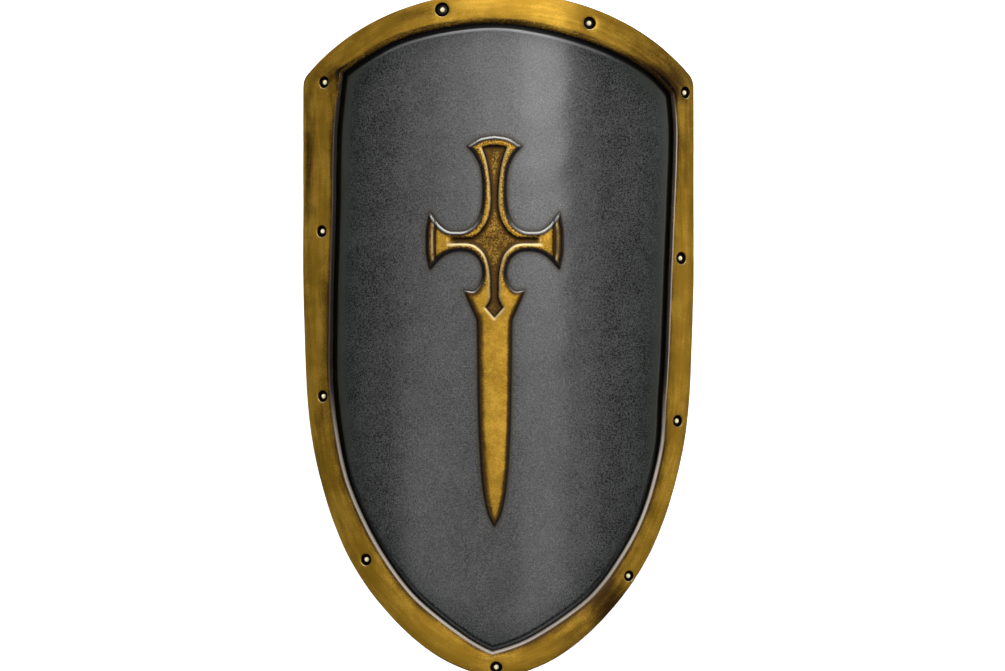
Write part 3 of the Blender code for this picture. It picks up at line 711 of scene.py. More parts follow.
def crossLoop(*stretches):
    # smooth stretches at real size down the right, points about one spacing apart, mirrored to the left
    half = []
    for name in stretches:
        half.append(evenly(throughPoints(goldCross[name], 16) * crossUnit, goldCross["spacing"])[:-1])
    half = np.vstack([*half, np.array(goldCross[stretches[-1]][-1:]) * crossUnit])
    loop = np.vstack([half[:1], half[1:-1] * (-1, 1), half[-1:], half[-2:0:-1]])
    return loop + (goldCross["shift"], crossHeight)


def crossFoot():
    # the edge of the cross where it meets the panel, outside its face by the flank
    face = crossLoop("crown", "upperHollow", "armEnd", "lowerHollow", "prong", "blade")
    return insetLoop(face, -goldCross["flank"])


def crossGrooves():
    # the middle line of the groove inside each arm's end
    arc = throughPoints(goldCross["endGroove"], 8) * crossUnit
    arc = arc - (goldCross["grooveInset"] * crossUnit + goldCross["grooveWidth"] / 2, 0)
    return [arc * (side, 1) + (goldCross["shift"], crossHeight) for side in (-1, 1)]


def fromMiddle(points):
    # how far each point lies to the side of the cross's middle line
    return np.abs(points[:, 0] - goldCross["shift"])


def armRamp(points):
    # 0 at the outer ends of the channel's arms, 1 from the ramp's length inwards
    end = goldCross["channelEnd"][0][0] * crossUnit
    return smoothStep(end - fromMiddle(points), 0, goldCross["channelRamp"])


def levelCourse(loop):
    # the share of a loop's course at each point that runs towards +s, from -1 to 1
    return unit(np.gradient(closed(loop), axis=0)[:-1])[:, 0]


def crossLevel(points, foot, channel, grooves):
    # quarter ellipse up from the wall, a bead that falls off to the channel, the channel's wall and floor,
    # a low ridge along the blade, and the grooves; then thinned towards the tip by the square of the nearness
    edge, beside = distanceTo(points, closed(foot)), distanceTo(points, closed(channel))
    u = 1 - np.clip(edge / goldCross["rounding"], 0, 1)
    wall, drop = goldCross["wallShare"], goldCross["beadDrop"]
    level = goldCross["rise"] * (wall + (1 - wall) * np.sqrt(np.maximum(1 - u**2, 0)))
    level = level - goldCross["ridge"] * (1 - smoothStep(edge, 0.002, 0.016))
    bead = drop * (1 - np.clip(beside / goldCross["beadWidth"], 0, 1))**2
    flank = smoothStep(beside, 0, goldCross["channelFlank"])
    sunk = drop + (goldCross["channelDepth"] - drop) * flank * armRamp(points)
    level = level - np.where(insideLoop(points, channel), sunk, bead)
    for groove in grooves:
        away = distanceTo(points, groove) / (goldCross["grooveWidth"] / 2)
        level = level - goldCross["grooveDepth"] * np.clip(1 - away**2, 0, 1)
    tip = crossHeight + goldCross["blade"][-1][1] * crossUnit
    near = np.clip(1 - (points[:, 1] - tip) / goldCross["thinningLength"], 0, 1)
    return sheet["gap"] + np.maximum(level, 0.0004) * (1 - goldCross["tipThinning"] * near**2)


def crossPaint(flat, foot, channel, grooves):
    # numbers for the gold of the cross's face, each a sum of smooth steps of the distances to its edges
    edge, beside = distanceTo(flat, closed(foot)), distanceTo(flat, closed(channel))
    inside, ramp = insideLoop(flat, channel), armRamp(flat)
    # the flanks are black, with a painted highlight where they face up the shield, towards the light
    flankSheen = 0.06 + 0.94 * smoothStep(-levelCourse(foot), 0.15, 0.75)
    bright = flankSheen[nearestOf(flat, foot)]
    # gold covers the face and thins out down the flanks; the channel is bare beside its walls
    upper = smoothStep(flat[:, 1], crossHeight - 0.070, crossHeight - 0.045)
    lower = 1 - upper
    start = 0.0006 + (0.0018 + 0.0010 * bright) * upper
    cover = smoothStep(edge, start, start + 0.0028 + 0.0014 * upper)
    middle = 0.35 + 0.41 * smoothStep(beside, 0.0016, 0.0050)
    middle = np.maximum(middle, 1 - smoothStep(beside, 0.0003, 0.0014))
    cover = np.where(inside, 1 - (1 - middle) * ramp, cover)
    # the bead's inner edge is a little worn and has a painted highlight, most of all where it faces up the
    # shield
    facing = levelCourse(channel)[nearestOf(flat, channel)]
    wornAndLit = np.clip(0.40 + 0.62 * facing, 0, 1) * (1 - 0.6 * (1 - ramp) * (facing < 0.5))
    wornAndLit = wornAndLit * np.exp(-((beside - np.where(inside, 0, 0.0004)) / 0.0013)**2)
    # brown beside the flanks and all along the channel: partly where the brush left less gold, partly painted
    # shade
    # painted shade down the blade's left side
    leftShade = smoothStep(goldCross["shift"] - flat[:, 0], -0.004, 0.006) * lower
    brownAndShade = (0.75 + 0.30 * lower) * (1 - smoothStep(edge, 0.0030, 0.0080 + 0.004 * upper + 0.005 * leftShade))
    # less brown down the blade's middle: a painted highlight
    brownAndShade = brownAndShade - 0.25 * smoothStep(edge, 0.006, 0.014) * lower
    # in the channel: painted shade beside its walls, lighter in the middle
    brownAndShade = np.where(inside, (1.20 - 0.62 * smoothStep(beside, 0.0020, 0.0080)) * ramp, brownAndShade)
    # the arm ends: a brown groove with a bright line outside it, and a smoother, brighter facet inside it
    for groove in grooves:
        away = distanceTo(flat, groove)
        dark = 1 - smoothStep(away, 0.0008, 0.0026)
        cover = cover * (1 - 0.55 * dark)
        outside = fromMiddle(flat) > np.interp(flat[:, 1], groove[::-1, 1], fromMiddle(groove[::-1]))
        ridge = 0.55 * outside * np.exp(-((away - 0.0034) / 0.0011)**2) * (edge > 0.0022)
        wornAndLit = np.maximum(wornAndLit, ridge)
        brownAndShade = np.maximum(brownAndShade, np.maximum(1.35 * dark, 0.85 * outside * smoothStep(away, 0.0038, 0.0058)))
    facet = smoothStep(fromMiddle(flat), 0.056, 0.064)
    # shine is edge wear with painted highlight; the flanks' painted highlight reaches onto the face's edge
    return flankSheen, {"cover": cover, "rubbed": bright * (1 - smoothStep(edge, 0.0020, 0.0040)), "shine": wornAndLit,
                    "stain": brownAndShade - 0.12 * facet,
                    "speckled": np.where(inside, 0.45, upper) * (1 - 0.7 * facet)}


def makeCross():
    # the drawn loops and points beside them, filled with triangles and lifted to the face's level
    foot = crossFoot()
    channel = crossLoop("channelTop", "channelUpper", "channelEnd", "channelLower", "channelFoot")
    grooves = crossGrooves()
    extra = [besideLoop(foot, distance) for distance in goldCross["besideFoot"]]
    extra += [besideLoop(channel, distance) for distance in goldCross["besideChannel"]]
    extra.append(channel)
    for groove in grooves:
        extra += [evenly(groove, goldCross["spacing"]) + (shift, 0) for shift in goldCross["besideGroove"]]
    grid = gridInside(foot, goldCross["gridStep"])
    apart = (distanceTo(grid, closed(foot)) > 0.0085) & (distanceTo(grid, closed(channel)) > 0.0022)
    extra = np.vstack([*extra, grid[apart]])
    extra = extra[insideLoop(extra, foot)]
    extra = extra[distanceTo(extra, closed(foot)) > 0.00025]
    flat, triangles = fillBetween([foot], extra)
    flankSheen, numbers = crossPaint(flat, foot, channel, grooves)
    # a straight wall up to the face's edge, the face, and a flat underside
    wallTop = crossLevel(foot, foot, channel, grooves)
    wall = np.stack([np.full(len(foot), sheet["gap"]), wallTop], 1)
    under, underTriangles = fillBetween([foot], gridInside(foot, goldCross["underStep"]))
    return buildPiece("goldCross", [
        # the wall carries the flanks' painted highlight
        sheetPart(np.stack([foot, foot], 1), wall, rubbed=flankSheen[:, None]),
        sheetPart(flat, crossLevel(flat, foot, channel, grooves), triangles, **numbers),
        sheetPart(under, sheet["gap"], underTriangles),
    ])


# Panel board: the bent board, with the ledge under the rim, the groove and the grey panel's rounded shoulder
panelBoard = {
    "edgeRounding": 0.0015,
    "rowStep": 0.0050,
    "grooveStart": 0.003,
    "grooveFoot": 0.0085,
    "shoulder": 0.0042,
    "shoulderColumns": 8,
    "fieldStep": 0.0060,
    "backStep": 0.0140,
    "besideCross": (0.0006, 0.0016, 0.0032, 0.0056),
    "unevenness": 0.00016,
    "soft": 0.030,  # how far in from its shoulder the panel stays even
}


def topGleam(points):
    # a painted gleam on the shoulder along the top, where it faces the light, most in the middle:
    # steps of the height and of the place across
    s, y = points.T
    return smoothStep(y, 0.345, 0.385) * (1 - 0.85 * smoothStep(np.abs(s), 0.07, 0.19))


def openBorder(points):
    # how far the clear coat reaches out over the border: at the foot, and in the middle of the top
    s, y = points.T
    top = smoothStep(y, 0.22, 0.34) * (1 - smoothStep(np.abs(s), 0.12, 0.21))
    return 0.026 * smoothStep(-y, 0.12, 0.26) + 0.030 * top


def makeBoard():
    # columns from the back round the edge to the panel's border, then the panel and the back filled in
    outerTrack = outlineTrack(0)
    q = stepsRound(outerTrack, panelBoard["rowStep"])
    outer = trackAt(outerTrack, q)
    r, grooveFoot, last = panelBoard["edgeRounding"], panelBoard["grooveFoot"], panelBoard["shoulderColumns"]
    inner = trackAt(outlineTrack(r), q)
    back, ledge = -sheet["thickness"], sheet["ledge"]
    # round the edge from the back to the front, along the ledge, then a shoulder that is a quarter ellipse,
    # steep at the groove and level at the panel
    columns = []
    for angle in np.linspace(0, math.pi / 2, 4):
        columns.append((inner + (outer - inner) * math.sin(angle), back + r * (1 - math.cos(angle))))
    for angle in np.linspace(0, math.pi / 2, 4):
        columns.append((inner + (outer - inner) * math.cos(angle), ledge - r * (1 - math.sin(angle))))
    grooveStart = trackAt(windowTrack(panelBoard["grooveStart"]), q)
    for share in (0.35, 0.7, 1.0):
        columns.append((inner + (grooveStart - inner) * share, ledge))
    for distance in (0.005, 0.0068, grooveFoot):
        columns.append((trackAt(windowTrack(distance), q), ledge))
    for angle in np.linspace(0, math.pi / 2, last + 1)[1:]:
        distance = grooveFoot + panelBoard["shoulder"] * (1 - math.cos(angle))
        columns.append((trackAt(windowTrack(distance), q), ledge * (1 - math.sin(angle))))
    flat = np.stack([column[0] for column in columns], 1)
    rows, count = flat.shape[:2]
    field = flat[:, -1]
    # the groove is painted black, as shade in the recess at the rim's foot, more narrowly so round the lower
    # V
    toRim = distanceTo(flat.reshape(-1, 2), closed(trackAt(windowTrack(0), q))).reshape(rows, count)
    low = smoothStep(-field[:, 1:], 0.10, 0.20) - 0.3 * smoothStep(-field[:, :1], 0.0, 0.1)
    groove = 1 - smoothStep(toRim, 0.0070 - 0.0034 * low, 0.0110 - 0.0040 * low)
    groove[:, :count - last - 3] = 1
    gleam = np.pad(np.sin(np.linspace(0.3, 2.2, last)), (count - last, 0))
    parts = [sheetPart(flat, np.array([column[1] for column in columns]), groove=groove, byCross=1.0,
                       inset=openBorder(field)[:, None], polish=topGleam(field)[:, None] * gleam)]
    # the panel: a grid with finer rows beside its shoulder and round the cross
    cross = crossFoot()
    grid = gridInside(field, panelBoard["fieldStep"])
    grid = grid[(distanceTo(grid, closed(field)) > 0.006) & (distanceTo(grid, closed(cross)) > 0.007)]
    shoulderEnd = grooveFoot + panelBoard["shoulder"]
    near = [trackAt(windowTrack(shoulderEnd + more), q) for more in (0.0015, 0.004)]
    beside = [besideLoop(cross, -distance) for distance in panelBoard["besideCross"]]
    filled, triangles = fillBetween([field], np.vstack([grid, *near, cross, *beside]))
    inside = distanceTo(filled, closed(field))
    uneven = panelBoard["unevenness"] * smoothStep(inside, 0.0, panelBoard["soft"])
    # the field's edge along the top carries the painted gleam too
    parts.append(sheetPart(filled, uneven * ripple(filled, 5, 0.06), triangles,
                           inset=inside + openBorder(filled) * (1 - smoothStep(inside, 0.02, 0.07)),
                           byCross=np.where(insideLoop(filled, cross), 0, distanceTo(filled, closed(cross))),
                           polish=0.8 * (1 - smoothStep(inside, 0.0, 0.0012)) * topGleam(filled)))
    behind, triangles = fillBetween([flat[:, 0]], gridInside(flat[:, 0], panelBoard["backStep"]))
    parts.append(sheetPart(behind, back, triangles, groove=1.0, byCross=1.0))
    return buildPiece("panelBoard", parts)


def turnedPiece(name, profile, place, sides, **numbers):
    # a profile of radius and level, from the bottom up, turned about a place on the sheet
    radii, levels = np.array(profile).T
    spot = place + unitCircle(sides)[:, None] * radii[:, None]
    return buildPiece(name, [sheetPart(spot, levels, **numbers)])


def dome(radius, height, base, steps):
    # from the edge to the top: radius times cos, height times sin
    return [(radius * math.cos(a), base + height * math.sin(a)) for a in np.linspace(0, math.pi / 2, steps)]


# Studs: a thin disc at the bottom of each socket with a round head on it
roundStud = {"discClearance": 0.0012, "discHeight": 0.0015, "neck": 0.0012, "radius": 0.0031, "sides": 40,
             "domeSteps": 12}


def makeStud(number, s, y, radius):
    # a disc as wide as the socket's floor less its clearance, a neck, and a dome of cos and sin
    disc = radius - studMap["socketTaper"] - roundStud["discClearance"]
    base = rimTop - studMap["socketDepth"] + sheet["gap"]
    discTop = base + roundStud["discHeight"]
    headBase = discTop + roundStud["neck"]
    head, steps = roundStud["radius"], roundStud["domeSteps"]
    profile = [(0, base), (disc - 0.0003, base), (disc, base + 0.0003), (disc, discTop - 0.0004),
               (disc - 0.0004, discTop), (head * 0.80, discTop), (head * 0.80, headBase - 0.0007),
               (head * 0.94, headBase - 0.0003), *dome(head, head * 0.75, headBase, steps)]
    # gold on the dome, dark below
    cover = [-1.0] * 7 + [0.3] + [1.0] * steps
    return turnedPiece(f"stud{number:02d}", profile, (s, y), roundStud["sides"], cover=cover)


# Straps behind: a leather band with flat tabs and a bow, stitched near both edges
handStraps = {
    "thickness": 0.0040,
    "bow": [(1.0, 0.0), (0.88, 0.10), (0.72, 0.45), (0.52, 0.84), (0.24, 0.98), (0.0, 1.0)],
    "arm": {"across": -0.095, "along": 0.060, "width": 0.050, "loop": 0.112, "tab": 0.038, "depth": 0.058},
    "hand": {"across": 0.090, "along": 0.060, "width": 0.034, "loop": 0.100, "tab": 0.032, "depth": 0.044},
    "step": 0.0016,
    "edge": 0.0013,
    "stitchInset": 0.0038,
    "stitchStep": 0.0052,
    "stitchLength": 0.0036,
    "stitchRadius": 0.00045,
    "stitchSunk": 0.0001,
    "stitchEnds": (0.010, 0.012),  # the rows keep this far from the band's ends
    "lineDepth": 0.0004,
    "lineWidth": 0.0007,
    "endRounding": 0.009,
}
rivet = {"radius": 0.0070, "height": 0.0035, "washer": 0.0010, "sides": 40}


def strapPath(strap):
    # the outer face along the shield and off the board, its running length, and the normal off the board
    loop = strap["loop"] / 2
    end = loop + strap["tab"]
    half = np.array(handStraps["bow"]) * (loop, strap["depth"])
    bow = np.vstack([half, half[-2::-1] * (-1, 1)])
    curve = throughPoints(bow, 14, before=(end, 0.0), after=(-end, 0.0))
    path = evenly(np.vstack([[(end, 0.0)], curve, [(-end, 0.0)]]), handStraps["step"])
    course = unit(np.gradient(path, axis=0))
    return path, np.arange(len(path)) * handStraps["step"], pairs(course[:, 1], -course[:, 0])


def strapPlaces(strap, path, normal, across, depth):
    # a place across the band and a depth below its outer face, never nearer the board than the tabs lie
    along = path[..., :1] - normal[..., :1] * depth
    off = np.maximum(path[..., 1:] - normal[..., 1:] * depth, -handStraps["thickness"])
    level = -sheet["thickness"] - sheet["gap"] - handStraps["thickness"] - off
    return pairs(strap["across"] + across + 0 * off, strap["along"] + along), level


def makeStrap(name, strap):
    # a rounded oblong section carried along the path, with a shallow line under each row of stitches
    path, run, normal = strapPath(strap)
    width, thick, edge = strap["width"] / 2, handStraps["thickness"], handStraps["edge"]
    # the ends are rounded: the half width falls off by a quarter circle
    rounding = handStraps["endRounding"]
    toEnd = np.maximum(rounding - np.minimum(run, run[-1] - run), 0)
    cut = rounding - np.sqrt(np.maximum(rounding**2 - toEnd**2, 0))
    side = width - edge
    face, behind = np.linspace(-1, 1, 25) * side, np.linspace(1, -1, 7)[1:-1] * side
    offLine = (np.abs(face) - (width - handStraps["stitchInset"])) / handStraps["lineWidth"]
    turn = np.linspace(0, math.pi / 2, 4)
    out, down = edge * np.cos(turn), edge * (1 - np.sin(turn))
    section = np.vstack([pairs(face, handStraps["lineDepth"] * np.exp(-offLine**2)),
                         pairs(side + out, down)[-2::-1], pairs(side + out, thick - down),
                         pairs(behind, thick + 0 * behind),
                         pairs(-side - out, thick - down)[::-1], pairs(-side - out, down)[:-1]])
    across = section[:, 0] * ((width - cut)[:, None] / width)
    places, level = strapPlaces(strap, path, normal, across, section[:, 1])
    return buildPiece(name, [sheetPart(places, level, quadsOf(numbered(*level.shape).T))], cap=True)


def makeStitches(name, strap):
    # short rounded threads lying along two lines near the band's edges
    path, run, normal = strapPath(strap)
    first, last = handStraps["stitchEnds"]
    starts = np.arange(first, run[-1] - last, handStraps["stitchStep"])
    u = np.linspace(0, 1, 7)
    at = starts[:, None] + u * handStraps["stitchLength"]
    spots, normals = pointsAt(run, at, path), pointsAt(run, at, normal)
    radius = (handStraps["stitchRadius"] * np.sqrt(np.maximum(1 - (2 * u - 1)**4, 0)))[:, None]
    beside, lift = (radius * unitCircle(8)[:, k] for k in (0, 1))
    parts = []
    for side in (-1, 1):
        across = side * (strap["width"] / 2 - handStraps["stitchInset"]) + beside
        places, level = strapPlaces(strap, spots, normals, across, handStraps["stitchSunk"] - lift)
        parts.append(sheetPart(places, level, quadsOf(numbered(*level.shape).T)))
    return buildPiece(name, parts)


def makeRivet(name, strap, side):
    # a washer and a dome of cos and sin, turned about a place on the tab, pointing away from the board
    top = -sheet["thickness"] - 2 * sheet["gap"] - handStraps["thickness"]
    along = strap["along"] + side * (strap["loop"] / 2 + strap["tab"] * 0.6)
    radius, washer = rivet["radius"], rivet["washer"]
    head = [(r, top - washer - h) for r, h in dome(radius * 0.78, rivet["height"] - washer, 0.0, 10)]
    profile = [(0, top), (radius - 0.0003, top), (radius, top - 0.0003), (radius, top - washer + 0.0003),
               (radius - 0.0003, top - washer), (radius * 0.80, top - washer), *head]
    return turnedPiece(name, profile, (strap["across"], along), rivet["sides"])


# Finishes
panelCoat = {
    "dark": (0.004, 0.0042, 0.004, 1),
    "light": (0.083, 0.084, 0.082, 1),
    "edge": (0.50, 0.57, 0.54, 1),  # multiplies the coat towards the rim
    "border": (0.026, 0.031, 0.025, 1),
    "haze": (0.026, 0.017, 0.006, 1),
    "overspray": (0.058, 0.038, 0.012, 1),
    # black: the board's edge and back, and painted shade in the groove and round the cross's foot
    "black": (0.002, 0.002, 0.0015, 1),
    # the painted gleam's light grey
    "gleamColour": (0.26, 0.26, 0.27, 1),
    "metallic": 0.08,
    "roughness": 0.50,
    "specular": 0.20,
    "coat": 0.90,
    "coatIndex": 1.9,
    "coatRoughness": 0.22,
    "speckle": 560,
    "patches": 26,
}
goldPaint = {
    "bright": (0.84, 0.485, 0.058, 1),
    "mid": (0.49, 0.268, 0.020, 1),
    "stain": (0.085, 0.040, 0.006, 1),
    "bare": (0.014, 0.011, 0.008, 1),
    "shine": (0.98, 0.80, 0.42, 1),
    "crossShade": (0.92, 0.90, 0.90, 1),  # the cross's gold is a little darker than the rim's
    "metallic": 0.80,
    "roughness": 0.40,
    "flowScale": (16, 16, 150),  # the rim's streaks are long along it and narrow across
    "streakScale": 70,
    "patchScale": 16,
    # what differs on the two: scale of the speckle, strength of streaks and patches, how dark, colour of the
    # painted sheen
    "rim": {"speckle": 700, "streaks": 0.22, "patches": 0.34, "lower": 0.27,
            "sheenColour": (0.31, 0.27, 0.23, 1)},
    "cross": {"speckle": 480, "streaks": 0.20, "patches": 0.26, "lower": 0.17,
              "sheenColour": (0.41, 0.40, 0.38, 1)},
}
studPaint = {"dim": (0.96, 0.80, 0.42, 1), "bright": (1.0, 0.93, 0.66, 1), "metallic": 0.12,
             "roughness": 0.26}
plainPaint = {  # colour, metallic, roughness, size of the grain, depth of its bump
    "blackLeather": ((0.022, 0.020, 0.018, 1), 0.0, 0.55, 420, 0.0003),
    "waxedThread": ((0.20, 0.17, 0.12, 1), 0.0, 0.6, 1500, 0.0001),
    "darkSteel": ((0.28, 0.28, 0.29, 1), 1.0, 0.34, 500, 0.00005),
}


def makePanelFinish():
    # grey coat with a fine light and dark speckle, darker and greener beside the rim, and round the cross a
    # black line that is partly black wash and partly painted shade where it meets the panel
    made = finishMaker("gunmetalCoat")
    place = made.place()
    fine = made.noise(place, panelCoat["speckle"], 2, 0.7)
    soft = made.noise(place, panelCoat["patches"], 3, 0.6)
    speckled = made.ranged(fine, 0.40, 0.62, 0, 0.9)
    tone = made.maths("ADD", speckled, made.ranged(soft, 0.3, 0.7, -0.08, 0.12), clamp=True)
    inset, cross, polish, groove = (made.attribute(name) for name in ("inset", "byCross", "polish", "groove"))
    byCross = made.maths("ADD", cross, made.maths("MULTIPLY", fine, 0.003))
    byRim = made.maths("ADD", inset, made.maths("MULTIPLY", soft, 0.012))
    colour = made.mixed(tone, panelCoat["dark"], panelCoat["light"])
    colour = made.mixed(made.ranged(inset, 0.0, 0.075, 1, 0), colour, panelCoat["edge"], "MULTIPLY")
    for share, name in ((made.ranged(inset, 0.002, 0.018, 0.80, 0), "border"),
                        (made.ranged(byRim, 0.003, 0.013, 0.50, 0), "haze"),
                        (made.ranged(byCross, 0.0014, 0.0085, 0.80, 0), "overspray"),
                        # the black line at the cross's foot: black wash and painted shade where the cross
                        # meets the panel
                        (made.ranged(cross, 0.0006, 0.0022, 1, 0), "black"),
                        # the groove's black is painted shade
                        (polish, "gleamColour"), (groove, "black")):
        colour = made.mixed(share, colour, panelCoat[name])
    # the clear coat is thinner, as if dusty, near the rim and round the cross; there is none in the groove
    coat = made.ranged(inset, 0.004, 0.060, panelCoat["coat"] * 0.45, panelCoat["coat"])
    coat = made.maths("MULTIPLY", coat, made.ranged(byCross, 0.0014, 0.0085, 0.35, 1))
    roughness = panelCoat["roughness"]
    return made.finish({
        "Base Color": colour,
        "Metallic": made.ranged(polish, 0, 1, panelCoat["metallic"], 0.9),
        "Roughness": made.ranged(soft, 0.3, 0.7, roughness - 0.05, roughness + 0.05),
        "Specular IOR Level": panelCoat["specular"],
        "Coat Weight": made.maths("MULTIPLY", coat, made.ranged(groove, 0, 0.9, 1, 0)),
        "Coat Roughness": panelCoat["coatRoughness"],
        "Coat IOR": panelCoat["coatIndex"],
        "Normal": made.bump(soft, 0.0008, 0.25, made.bump(fine, 0.00010, 0.5)),
        "Coat Normal": made.bump(soft, 0.0008, 0.25),
    })


def makeGoldFinish(name, kind):
    # gold brushed over dark lacquer: streaks, stains with painted shade, a grainy edge where the cover gives
    # out, wear and painted highlights on edges
    made, paint, flowing = finishMaker(name), goldPaint[kind], kind == "rim"
    place = made.place()
    if flowing:
        flow = {"Vector": made.attribute("flow", "Vector"), "Scale": goldPaint["flowScale"]}
        streak = made.noise(made.put("Mapping", flow), 1.0, 3, 0.6)
    else:
        streak = made.noise(place, goldPaint["streakScale"], 3, 0.6)
    patch = made.noise(place, goldPaint["patchScale"], 3, 0.6)
    grain = made.noise(place, paint["speckle"], 2, 0.7)
    flecks = made.ranged(grain, 0.3, 0.7, -0.12, 0.12)
    if not flowing:
        flecks = made.maths("MULTIPLY", flecks, made.ranged(made.attribute("speckled"), 0, 1, 1.0, 4.5))
    tone = made.maths("ADD", made.ranged(streak, 0.3, 0.7, 0, paint["streaks"]),
                      made.ranged(patch, 0.3, 0.7, 0, paint["patches"]))
    tone = made.maths("SUBTRACT", made.maths("ADD", tone, flecks), paint["lower"])
    cover = made.attribute("cover")
    # stain with painted shade and highlight from the mesh, plus brown where the gold thins
    stainedAndShaded = made.maths("ADD", made.attribute("stain"), made.ranged(cover, 0.45, 1.0, 0.55, 0))
    stainedAndShaded = made.ranged(made.maths("SUBTRACT", stainedAndShaded, tone), -0.1, 1.0, 0, 1)
    colour = made.mixed(made.ranged(tone, -0.15, 0.40), goldPaint["mid"], goldPaint["bright"])
    colour = made.mixed(stainedAndShaded, colour, goldPaint["stain"])
    if not flowing:
        colour = made.mixed(1.0, colour, goldPaint["crossShade"], "MULTIPLY")
    # shine: edge wear and painted highlights on the cross's beads and the sockets' lips
    shine = made.maths("MULTIPLY", made.attribute("shine"), 0.85, clamp=True)
    colour = made.mixed(shine, colour, goldPaint["shine"])
    uneven = made.maths("ADD", made.ranged(grain, 0.25, 0.75, -0.22, 0.22),
                        made.ranged(streak, 0.3, 0.7, -0.10, 0.10))
    covered = made.ranged(made.maths("ADD", cover, uneven), 0.12, 0.62)
    # the dark lacquer under the gold, lightened to a painted highlight where it faces the light
    under = made.mixed(made.attribute("rubbed"), goldPaint["bare"], paint["sheenColour"])
    return made.finish({
        "Base Color": made.mixed(covered, under, colour),
        "Metallic": goldPaint["metallic"],
        "Roughness": made.ranged(covered, 0, 1, 0.26, goldPaint["roughness"]),
        "Normal": made.bump(streak, 0.00025, 0.4, made.bump(grain, 0.00010, 0.4)),
    })


def makeStudFinish():
    # pale gold head over a dark disc
    made = finishMaker("paleGold")
    grain = made.noise(made.place(), 900, 3, 0.6)
    gold = made.mixed(made.ranged(grain, 0.3, 0.7), studPaint["dim"], studPaint["bright"])
    return made.finish({
        "Base Color": made.mixed(made.ranged(made.attribute("cover"), 0.2, 0.6), goldPaint["bare"], gold),
        "Metallic": studPaint["metallic"],
        "Roughness": studPaint["roughness"],
        "Normal": made.bump(grain, 0.00004, 0.5),
    })


def makePlainFinish(name, colour, metallic, roughness, size, depth):
    # one colour varied a little by noise, with a bump of the same noise
    made = finishMaker(name)
    grain = made.noise(made.place(), size, 4, 0.6)
    darker = tuple(c * 0.6 for c in colour[:3]) + (1,)
    return made.finish({
        "Base Color": made.mixed(made.ranged(grain, 0.3, 0.7), darker, colour),
        "Metallic": metallic,
        "Roughness": made.ranged(grain, 0.3, 0.7, roughness - 0.05, roughness + 0.07),
        "Normal": made.bump(grain, depth, 0.7),
    })


panelFinish = makePanelFinish()
rimFinish = makeGoldFinish("rimGold", "rim")
crossFinish = makeGoldFinish("crossGold", "cross")
studFinish = makeStudFinish()
leatherFinish, threadFinish, steelFinish = (makePlainFinish(name, *plainPaint[name]) for name in plainPaint)
print("finishes made")

placePiece(makeBoard(), panelFinish, "gunmetal_coat", "board", sharp=40)
placePiece(makeRim(), rimFinish, "gold_coat", "rim", sharp=50)
placePiece(makeCross(), crossFinish, "gold_coat", "emblem", sharp=50)
for number, place in enumerate(studs, start=1):
    placePiece(makeStud(number, *place), studFinish, "pale_gold", f"stud_{number:02d}", sharp=50)
for word in ("arm", "hand"):
    strap = handStraps[word]
    placePiece(makeStrap(f"{word}Strap", strap), leatherFinish, "black_leather", f"{word}_strap", sharp=50)
    placePiece(makeStitches(f"{word}Stitches", strap), threadFinish, "black_leather")
    for number, side in enumerate((1, -1), start=1):
        name = f"{word}_strap_rivet_{number}"
        placePiece(makeRivet(f"{word}Rivet{number}", strap, side), steelFinish, "dark_steel", name, sharp=50)

# Floor, light and camera
studio = {
    "camera": (0.00559, -0.00133, 3.20104),
    "lens": 84.51,
    "sensor": 36.0,
    "floorRadius": 6.0,
    "floorTurn": 1.5,
    "wallHeight": 5.0,
    "floorDrop": 0.0004,
    "floorGlow": 0.80,
    "ambient": 0.06,
    "overheadHeight": 2.2,
    "overheadStep": 0.01,  # each box hangs this much above the last, so that none hides another
    # boxes that hang over the shield: left, right, low, high and glow; together they shade off to the left
    "overhead": [(0.34, 1.14, 0.38, 1.50, 2.7), (0.34, 1.14, -1.1, 0.38, 0.85), (0.34, 1.14, 0.05, 0.38, 0.6),
                 (1.14, 1.80, -1.1, 0.60, 0.35), (-2.10, 0.34, -1.1, 1.3, 0.20),
                 (-1.65, 0.34, -1.1, 1.3, 0.20), (-1.20, 0.34, 0.0, 1.3, 0.18),
                 (-0.85, 0.34, 0.15, 1.3, 0.22), (-0.55, 0.34, 0.15, 1.3, 0.30),
                 (-0.30, 0.34, 0.3, 1.5, 0.30), (-1.85, -0.75, -1.1, -0.10, 0.22)],
    # boxes above the top and at the right: place, point aimed at, size, power
    "beside": {"topBox": ((0.0, 2.5, 1.5), (0.0, 0.1, 0.1), (3.0, 2.4), 44),
               "rightBox": ((2.6, 0.0, 0.65), (0.2, 0.0, 0.05), (1.6, 0.5), 2.5)},
}


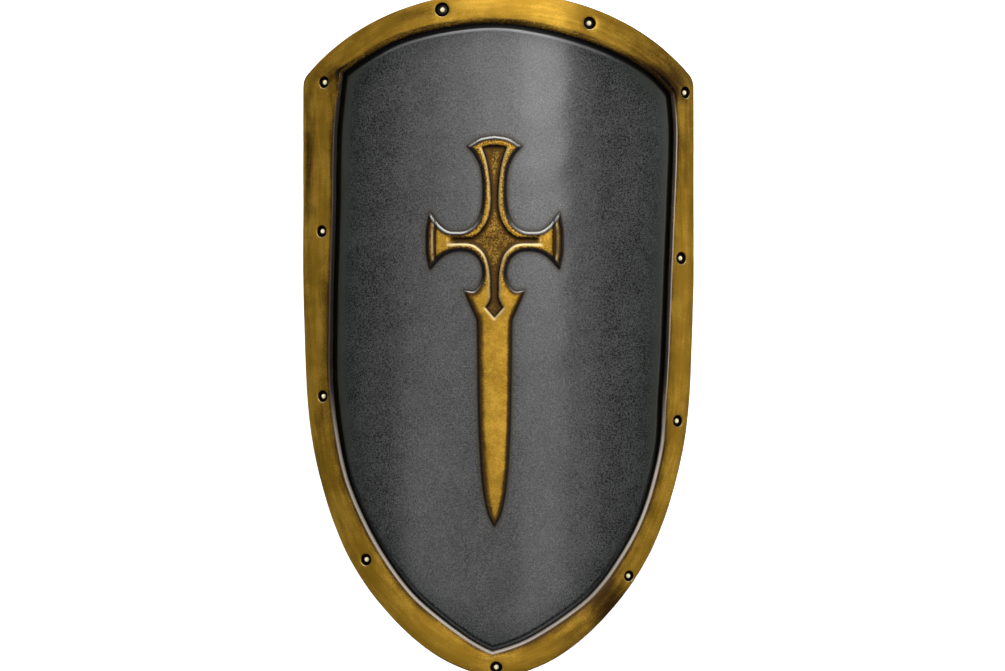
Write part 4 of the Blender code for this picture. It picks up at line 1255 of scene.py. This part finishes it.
def makeFloor():
    # a round white dish: a flat disc whose rim turns up through a quarter circle into a wall
    angle = np.linspace(0, math.pi / 2, 14)
    turn, wide = studio["floorTurn"], studio["floorRadius"]
    radius = np.array([0, wide * 0.5, *(wide + turn * np.sin(angle)), wide + turn])
    height = np.array([0, 0, *(turn * (1 - np.cos(angle))), studio["wallHeight"]]) - studio["floorDrop"]
    circle = unitCircle(96)
    grid = np.dstack([circle[:, :1] * radius, circle[:, 1:] * radius, height + 0 * circle[:, :1]])
    faces = [quadsOf(numbered(*grid.shape[:2]))]
    floor = buildPiece("floor", [{"points": grid.reshape(-1, 3), "faces": faces, "numbers": {}}])
    made = finishMaker("whiteFloor")
    grain = made.noise(made.place(), 300, 2, 0.5)
    floor.data.materials.append(made.finish({
        "Base Color": made.mixed(grain, (0.93, 0.93, 0.93, 1), (0.96, 0.96, 0.96, 1)),
        "Roughness": 0.9,
        "Emission Color": (1, 1, 1, 1),
        "Emission Strength": studio["floorGlow"],
    }))
    floor.visible_glossy = False
    floor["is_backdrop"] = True


def softBox(name, place, aim, size, power):
    # a rectangular area light at a place, turned to face a point
    lamp = bpy.data.lights.new(name, "AREA")
    lamp.shape = "RECTANGLE"
    lamp.size, lamp.size_y = size
    lamp.energy = power
    item = bpy.data.objects.new(name, lamp)
    item.location = place
    item.rotation_euler = (Vector(aim) - Vector(place)).to_track_quat("-Z", "Y").to_euler()
    item.visible_camera = False
    bpy.context.scene.collection.objects.link(item)


makeFloor()
for number, (left, right, low, high, glow) in enumerate(studio["overhead"], start=1):
    # power is the glow times pi times the area
    x, y = (left + right) / 2, (low + high) / 2
    place = (x, y, studio["overheadHeight"] + studio["overheadStep"] * number)
    size = (right - left, high - low)
    softBox(f"overBox{number}", place, (x, y, 0.0), size, glow * math.pi * size[0] * size[1])
for name, values in studio["beside"].items():
    softBox(name, *values)

scene = bpy.context.scene
scene.world = bpy.data.worlds.new("studioWorld")
scene.world.use_nodes = True
sky = scene.world.node_tree.nodes["Background"].inputs
sky["Color"].default_value = (0.8, 0.82, 0.85, 1)
sky["Strength"].default_value = studio["ambient"]

lens = bpy.data.cameras.new("camera")
lens.lens = studio["lens"]
lens.sensor_width = studio["sensor"]
lens.sensor_fit = "HORIZONTAL"
lens.clip_end = 50
camera = bpy.data.objects.new("camera", lens)
camera.location = studio["camera"]
scene.collection.objects.link(camera)
scene.camera = camera
scene.view_settings.view_transform = "Standard"
scene.view_settings.look = "None"
print("floor, light and camera placed")

bpy.context.view_layer.update()
low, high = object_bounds()
print("visual box", [round(v, 4) for v in (*low, *high)])
